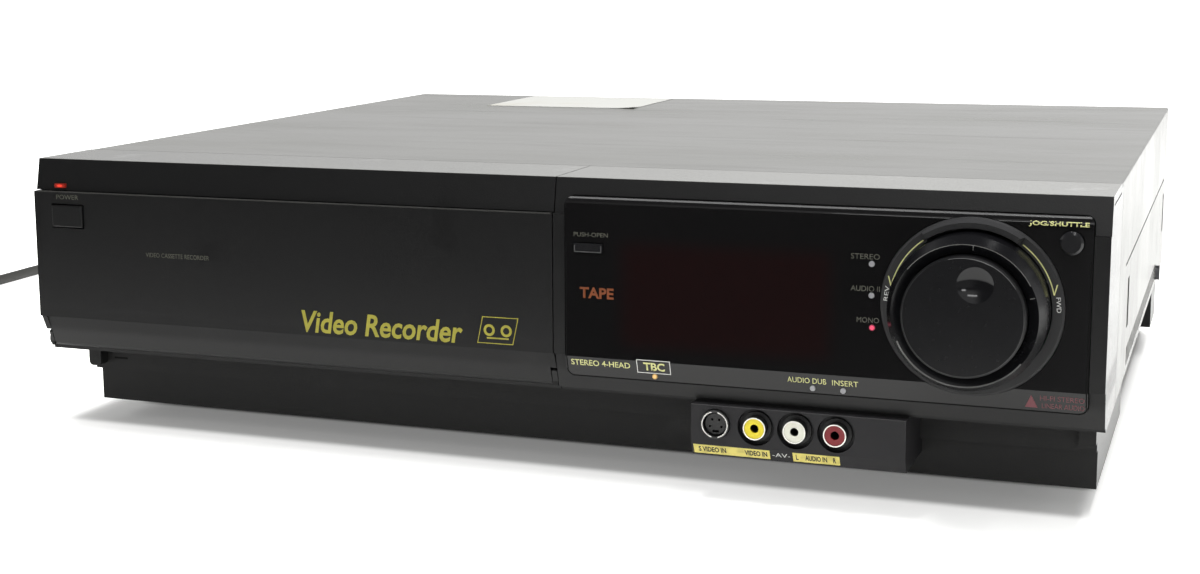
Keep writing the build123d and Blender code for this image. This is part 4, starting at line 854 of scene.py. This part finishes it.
# %% A tape symbol in a slanted frame
MOTIF_LEAN = 2.2
motif = [(-14.2, 55.0), (0.6, 55.0), (0.6 + MOTIF_LEAN, 65.4), (-14.2 + MOTIF_LEAN, 65.4)]
draw_outline(door_yellow, motif, 0.45)
for reel_x in (-9.2, -2.2):
    draw_arc(door_yellow, (reel_x, 60.2), 1.3, 2.3, 0, 360, 24)
draw_box(door_yellow, -10.2, -1.2, 56.9, 57.5)

# %% On the window
window_dim = sheet_for("case", "display_window", "ink_dim")
window_lime = sheet_for("case", "display_window", "ink_lime")
window_white = sheet_for("case", "display_window", "ink_white")
draw_words(window_dim, "PUSH-OPEN", 25.4, 38.7, 97.8, 99.4)
draw_words(window_dim, "STEREO", 128.5, 138.6, 94.7, 96.6)
draw_words(window_dim, "AUDIO II", 128.6, 138.8, 83.4, 85.3)
draw_words(window_dim, "MONO", 130.9, 138.7, 72.3, 74.2)
draw_words(window_lime, "STEREO 4-HEAD", 23.8, 47.0, 49.2, 51.5, weight=0.01)
draw_words(window_lime, "TBC", 52.2, 60.4, 49.0, 52.2, weight=0.03)
draw_outline(window_white, [(49.6, 47.9), (62.6, 47.9), (62.6, 53.2), (49.6, 53.2)], 0.45)
draw_words(window_lime, "AUDIO DUB", 106.2, 120.3, 48.8, 50.9)
draw_words(window_lime, "INSERT", 122.4, 131.7, 48.7, 50.8)
draw_words(window_lime, "JOG/SHUTTLE", 188.3, 207.9, 108.6, 110.6, weight=0.03)
window_red = sheet_for("case", "display_window", "ink_red")
draw_words(window_red, "HI-FI STEREO", 193.8, 208.4, 49.0, 50.9)
draw_words(window_red, "LINEAR AUDIO", 194.4, 208.4, 46.2, 48.1)
draw_shape(window_red, [(188.8, 46.2), (193.0, 46.2), (190.9, 50.9)])
draw_words(sheet_for("case", "display_window", "ink_lit"), "TAPE", 27.6, 40.9, 74.9, 79.0, weight=0.03)

# %% Painted shadow in the gap round the window
window_gap_shadow = sheet_for("case", "display_window", "seal_black")
draw_box(window_gap_shadow, 24.0, 207.0, 44.6, 45.1)
draw_box(window_gap_shadow, 208.7, 209.2, 47.5, 109.5)
draw_box(window_gap_shadow, 22.0, 22.4, 47.5, 109.5)
for x, bearing in ((24.6, 180), (206.6, 90)):
    draw_arc(window_gap_shadow, (x, 47.5), 2.35, 2.85, bearing, bearing + 90, 8)

# %% A painted highlight along the release button's edge
release_edge_highlight = sheet_for("door_release_button", "door_release_button", "ink_grey")
draw_box(release_edge_highlight, 25.8, 36.2, 92.05, 92.4)
draw_box(release_edge_highlight, 25.7, 26.0, 92.4, 94.6)
draw_box(release_edge_highlight, 36.0, 36.3, 92.4, 94.6)

# %% Around the dial
ARC_RADIUS = 27.9
ARC_START, ARC_END = 36.5, 78.0
dial_yellow = sheet_for("case", "dial_surround", "ink_lime")


def around_dial(radius, bearing):
    angle = math.radians(bearing)
    return DIAL[0] + radius * math.sin(angle), DIAL[1] + radius * math.cos(angle)


for way in (-1, 1):
    draw_arc(dial_yellow, DIAL, ARC_RADIUS - 0.2, ARC_RADIUS + 0.2, way * ARC_START, way * ARC_END, 18)
    draw_stroke(dial_yellow, around_dial(ARC_RADIUS, way * ARC_END),
                around_dial(ARC_RADIUS + 1.9, way * (ARC_END - 6.5)), 0.4)
dial_words = sheet_for("case", "dial_surround", "ink_white")
for words, way, gap in (("FWD", 1, 7.0), ("REV", -1, 5.5)):
    bearing = way * (ARC_END + gap)
    x, z = around_dial(29.0, bearing)
    draw_words(dial_words, words, x - 2.6, x + 2.6, z - 0.75, z + 0.75, turn=-math.radians(bearing))

# %% Under the sockets
BAND_LOW, BAND_HIGH = 18.7, 22.4
for left, right in ((70.7, 99.4), (107.9, 125.0)):
    draw_box(sheet_for("case", "jack_housing", "ink_strip"), left, right, BAND_LOW, BAND_HIGH)
lay_prints()
PROUD = 0.12 * MM
strip_words = sheet_for("case", "jack_housing", "print_black")
for words, left, right in (("S VIDEO IN", 72.6, 83.0), ("VIDEO IN", 90.0, 98.4), ("L", 109.0, 109.9),
                           ("AUDIO IN", 112.4, 120.4), ("R", 122.6, 123.7)):
    draw_words(strip_words, words, left, right, 19.5, 21.7, weight=0.03)
draw_words(sheet_for("case", "jack_housing", "ink_white"), "-AV-", 100.4, 106.9, 19.9, 21.6)
lay_prints()

# %% [markdown]
# ## Painted highlights and marks on the dial
# The shuttle ring and the jog dial are polished black, and their edges catch a thin line of light.
# The lines are painted highlights: narrow arcs of a greyer black, on the pieces that turn. Two short
# strokes across the shuttle ring's edge are drawn in the same grey, and two light triangles at the
# ends of the hood are painted highlights too.

# %% Painted highlights on the dial's edges
PROUD = 0.06 * MM
shuttle_highlight_and_marks = sheet_for("shuttle_ring", "shuttle_ring", "ink_worn")
for inner, outer, start, end in ((24.0, 24.3, -52, 62), (23.9, 24.35, 128, 246)):
    draw_arc(shuttle_highlight_and_marks, DIAL, inner, outer, start, end, 40)
for bearing in (6, 72):
    draw_stroke(shuttle_highlight_and_marks, around_dial(22.2, bearing), around_dial(24.0, bearing), 0.3)
# A painted highlight along the jog dial's edge.
draw_arc(sheet_for("jog_dial", "jog_dial", "ink_grey"), DIAL, 19.9, 20.1, -15, 58, 24)
hood_highlight = sheet_for("case", "dial_surround", "ink_grey")
for way in (-1, 1):
    draw_shape(hood_highlight, [around_dial(30.2, way * 34.3), around_dial(27.6, way * 34.3),
                           around_dial(27.6, way * 31.0)])

# %% [markdown]
# ## Contacts and small trim on the front
# The S-video socket's metal collar shows as two thin bright arcs, open at the keyways. The skirt has
# one small moulded slot near its left end, drawn as a black strip of painted shade.

# %% Collar arcs and the skirt's slot
collar = sheet_for("case", "s_video_jacks", "trim_nickel")
for start, end in ((14, 166), (194, 346)):
    draw_arc(collar, (79.2, 30.6), 4.55, 4.95, start, end, 20)
# The slot's black strip is painted shade.
draw_box(sheet_for("case", "front_skirt", "seal_black"), -201.2, -194.5, 28.9, 29.7)
lay_prints()

# %% [markdown]
# ## Behind the door
# The keys carry the usual transport symbols. Each symbol rides on its own key, so it moves when the
# key is pressed. The words above the keys are printed on the fixed panel.

# %% Transport symbols
KEY_FIRST, KEY_PITCH, KEY_HEIGHT = -193.0, 25.0, 51.0
key_order = ["eject", "rewind", "stop", "play", "fast_forward", "pause", "record"]
key_words = ["EJECT", "REW", "STOP", "PLAY", "FF", "PAUSE", "REC"]


def arrow(sheet, x, z, way, size=1.5):
    draw_shape(sheet, [(x - way * size, z - size), (x + way * size, z), (x - way * size, z + size)])


def draw_symbol(sheet, name, x, z):
    if name == "eject":
        draw_shape(sheet, [(x - 2.2, z - 0.4), (x + 2.2, z - 0.4), (x, z + 2.0)])
        draw_box(sheet, x - 2.2, x + 2.2, z - 1.7, z - 1.0)
    elif name in ("rewind", "fast_forward"):
        for shift in (-1.6, 1.6):
            arrow(sheet, x + shift, z, -1 if name == "rewind" else 1)
    elif name == "play":
        arrow(sheet, x, z, 1, 1.8)
    elif name == "pause":
        for shift in (-1.1, 1.1):
            draw_box(sheet, x + shift - 0.45, x + shift + 0.45, z - 1.6, z + 1.6)
    elif name == "stop":
        draw_box(sheet, x - 1.5, x + 1.5, z - 1.5, z + 1.5)
    else:
        draw_arc(sheet, (x, z), 0.02, 1.7, 0, 360, 28)


panel_words = sheet_for("case", "control_panel", "ink_white")
for place, (name, words) in enumerate(zip(key_order, key_words)):
    x = KEY_FIRST + place * KEY_PITCH
    symbol_ink = "ink_red" if name == "record" else "ink_white"
    draw_symbol(sheet_for(f"{name}_key", f"{name}_key", symbol_ink), name, x, KEY_HEIGHT)
    draw_words(panel_words, words, x - 0.95 * len(words), x + 0.95 * len(words), 58.0, 60.0)
draw_words(panel_words, "REC LEVEL", -13.3, 2.7, 62.6, 64.4)
for words, x in (("L", -14.5), ("R", 4.0)):
    draw_words(panel_words, words, x - 0.7, x + 0.7, 59.8, 61.6)
lay_prints()

# %% [markdown]
# ## The rear panel
# Seen from behind, left and right change places, so a rear drawing is laid out as its reader sees it
# and turned over when it is laid. Only signals and directions are named.

# %% Words, and screw slots drawn as painted shade, at the rear
rear_words = sheet_for("case", "rear_panel", "ink_white", side=-1)
rear_names = (("VIDEO", -40.0, 9.0), ("L", -58.0, 1.4), ("R", -76.0, 1.6), ("S VIDEO", -104.0, 12.0))
for words, x, wide in rear_names:
    for foot in (73.6, 99.6):
        draw_words(rear_words, words, x - wide / 2, x + wide / 2, foot, foot + 2.0)
for words, low in (("OUT", 65.0), ("IN", 91.0)):
    draw_words(rear_words, words, -30.5, -30.5 + 1.9 * len(words), low, low + 2.2)
draw_words(rear_words, "AUDIO", -71.5, -62.5, 103.6, 105.6)
draw_words(rear_words, "ANTENNA", -164.0, -148.0, 107.6, 109.8)
# The screws' cross slots are black strips of painted shade.
screw_slot_shade = sheet_for("case", "cover_screws", "print_black", side=-1)
for x in (-180.0, 0.0, 180.0):
    draw_stroke(screw_slot_shade, (x - 1.9, 107.0), (x + 1.9, 107.0), 0.8)
    draw_stroke(screw_slot_shade, (x, 105.1), (x, 106.6), 0.8)
    draw_stroke(screw_slot_shade, (x, 107.4), (x, 108.9), 0.8)
lay_prints()

# %% [markdown]
# ## A paper label on the cover
# A blank white label is stuck near the back of the cover. Old paper lifts a little at one corner and
# yellows unevenly, so its sheet is a fine grid with one corner raised, then given a thickness.

# %% Paper
@finish("label_paper", Roughness=0.85, Specular_IOR_Level=0.1)
def paper_paint(place):
    fibres = grain(place, 900, 4.0, 0.6, (1, 2.5, 1))
    stain = edge(grain(place, 26, 4.0), 0.50, 0.78)
    return {
        "Base Color": blend(stain * 0.5, (0.40, 0.40, 0.382), (0.35, 0.335, 0.29)),
        "Normal": bump(fibres, 0.25, 0.00008)}


# %% The label
LABEL_LEFT, LABEL_RIGHT, LABEL_NEAR, LABEL_FAR = -140.0, -54.5, 296.0, 367.0
LIFT_REACH, LIFT = 14.0, 0.7
label_mesh = bpy.data.meshes.new("paper_label")
label_sheet = bmesh.new()
bmesh.ops.create_grid(label_sheet, x_segments=40, y_segments=34, size=0.5)
for vert in label_sheet.verts:
    across = LABEL_LEFT + (vert.co.x + 0.5) * (LABEL_RIGHT - LABEL_LEFT)
    depth = LABEL_NEAR + (vert.co.y + 0.5) * (LABEL_FAR - LABEL_NEAR)
    from_corner = (LABEL_RIGHT - across) + (depth - LABEL_NEAR)
    raised = LIFT * max(0.0, 1 - from_corner / LIFT_REACH) ** 2
    vert.co = spot(across, depth, 119.05 + raised)
bmesh.ops.recalc_face_normals(label_sheet, faces=label_sheet.faces)
bmesh.ops.solidify(label_sheet, geom=label_sheet.faces[:], thickness=-0.00012)
bmesh.ops.recalc_face_normals(label_sheet, faces=label_sheet.faces)
label_sheet.to_mesh(label_mesh)
label_sheet.free()
label_mesh.materials.append(finishes["label_paper"])
label = bpy.data.objects.new("paper_label", label_mesh)
bpy.context.scene.collection.objects.link(label)
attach(label, "case")
print("label faces", len(label_mesh.polygons))

# %% [markdown]
# ## Hinge lug covers
# The door's ends are cut away where the hinge lugs stand. A small cover on each lug carries the
# front's slope on over that gap. It stays inside the circle that the door's ends sweep.

# %% Lug covers
LUG_PROFILE = [(0.3, 39.3), (0.392, 41.12), (-0.988, 45.3), (-0.3, 46.0), (1.2, 46.3), (1.2, 39.3)]
for name, left, right in (("hinge_cover_left", -214.2, -212.7), ("hinge_cover_right", 14.3, 16.55)):
    cover = bmesh.new()
    profile = cover.faces.new([cover.verts.new(spot(left, depth, z)) for depth, z in LUG_PROFILE])
    pulled = bmesh.ops.extrude_face_region(cover, geom=[profile])
    moved = [item for item in pulled["geom"] if isinstance(item, bmesh.types.BMVert)]
    bmesh.ops.translate(cover, verts=moved, vec=((right - left) * MM, 0, 0))
    bmesh.ops.recalc_face_normals(cover, faces=cover.faces)
    bmesh.ops.bevel(cover, geom=cover.edges[:], offset=0.15 * MM, offset_type="OFFSET", segments=2,
                    profile=0.5, affect="EDGES", material=-1)
    cover_mesh = bpy.data.meshes.new(name)
    cover.to_mesh(cover_mesh)
    cover.free()
    cover_mesh.materials.append(finishes["front_moulding"])
    lug_cover = bpy.data.objects.new(name, cover_mesh)
    bpy.context.scene.collection.objects.link(lug_cover)
    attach(lug_cover, "case")


# %% [markdown]
# The cover's rolled front edge leaves a small gap above the door at the left end, and a plain filler
# closes it.

# %% The filler at the left end
filler = bmesh.new()
bmesh.ops.create_cube(filler, size=1.0)
for vert in filler.verts:
    vert.co = spot(-213.8 + vert.co.x * 2.0, 1.7 + vert.co.y * 3.0, 106.0 + vert.co.z * 3.6)
bmesh.ops.bevel(filler, geom=filler.edges[:], offset=0.2 * MM, offset_type="OFFSET", segments=2,
                profile=0.5, affect="EDGES", material=-1)
filler_mesh = bpy.data.meshes.new("end_filler")
filler.to_mesh(filler_mesh)
filler.free()
filler_mesh.materials.append(finishes["front_moulding"])
end_filler = bpy.data.objects.new("end_filler", filler_mesh)
bpy.context.scene.collection.objects.link(end_filler)
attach(end_filler, "case")
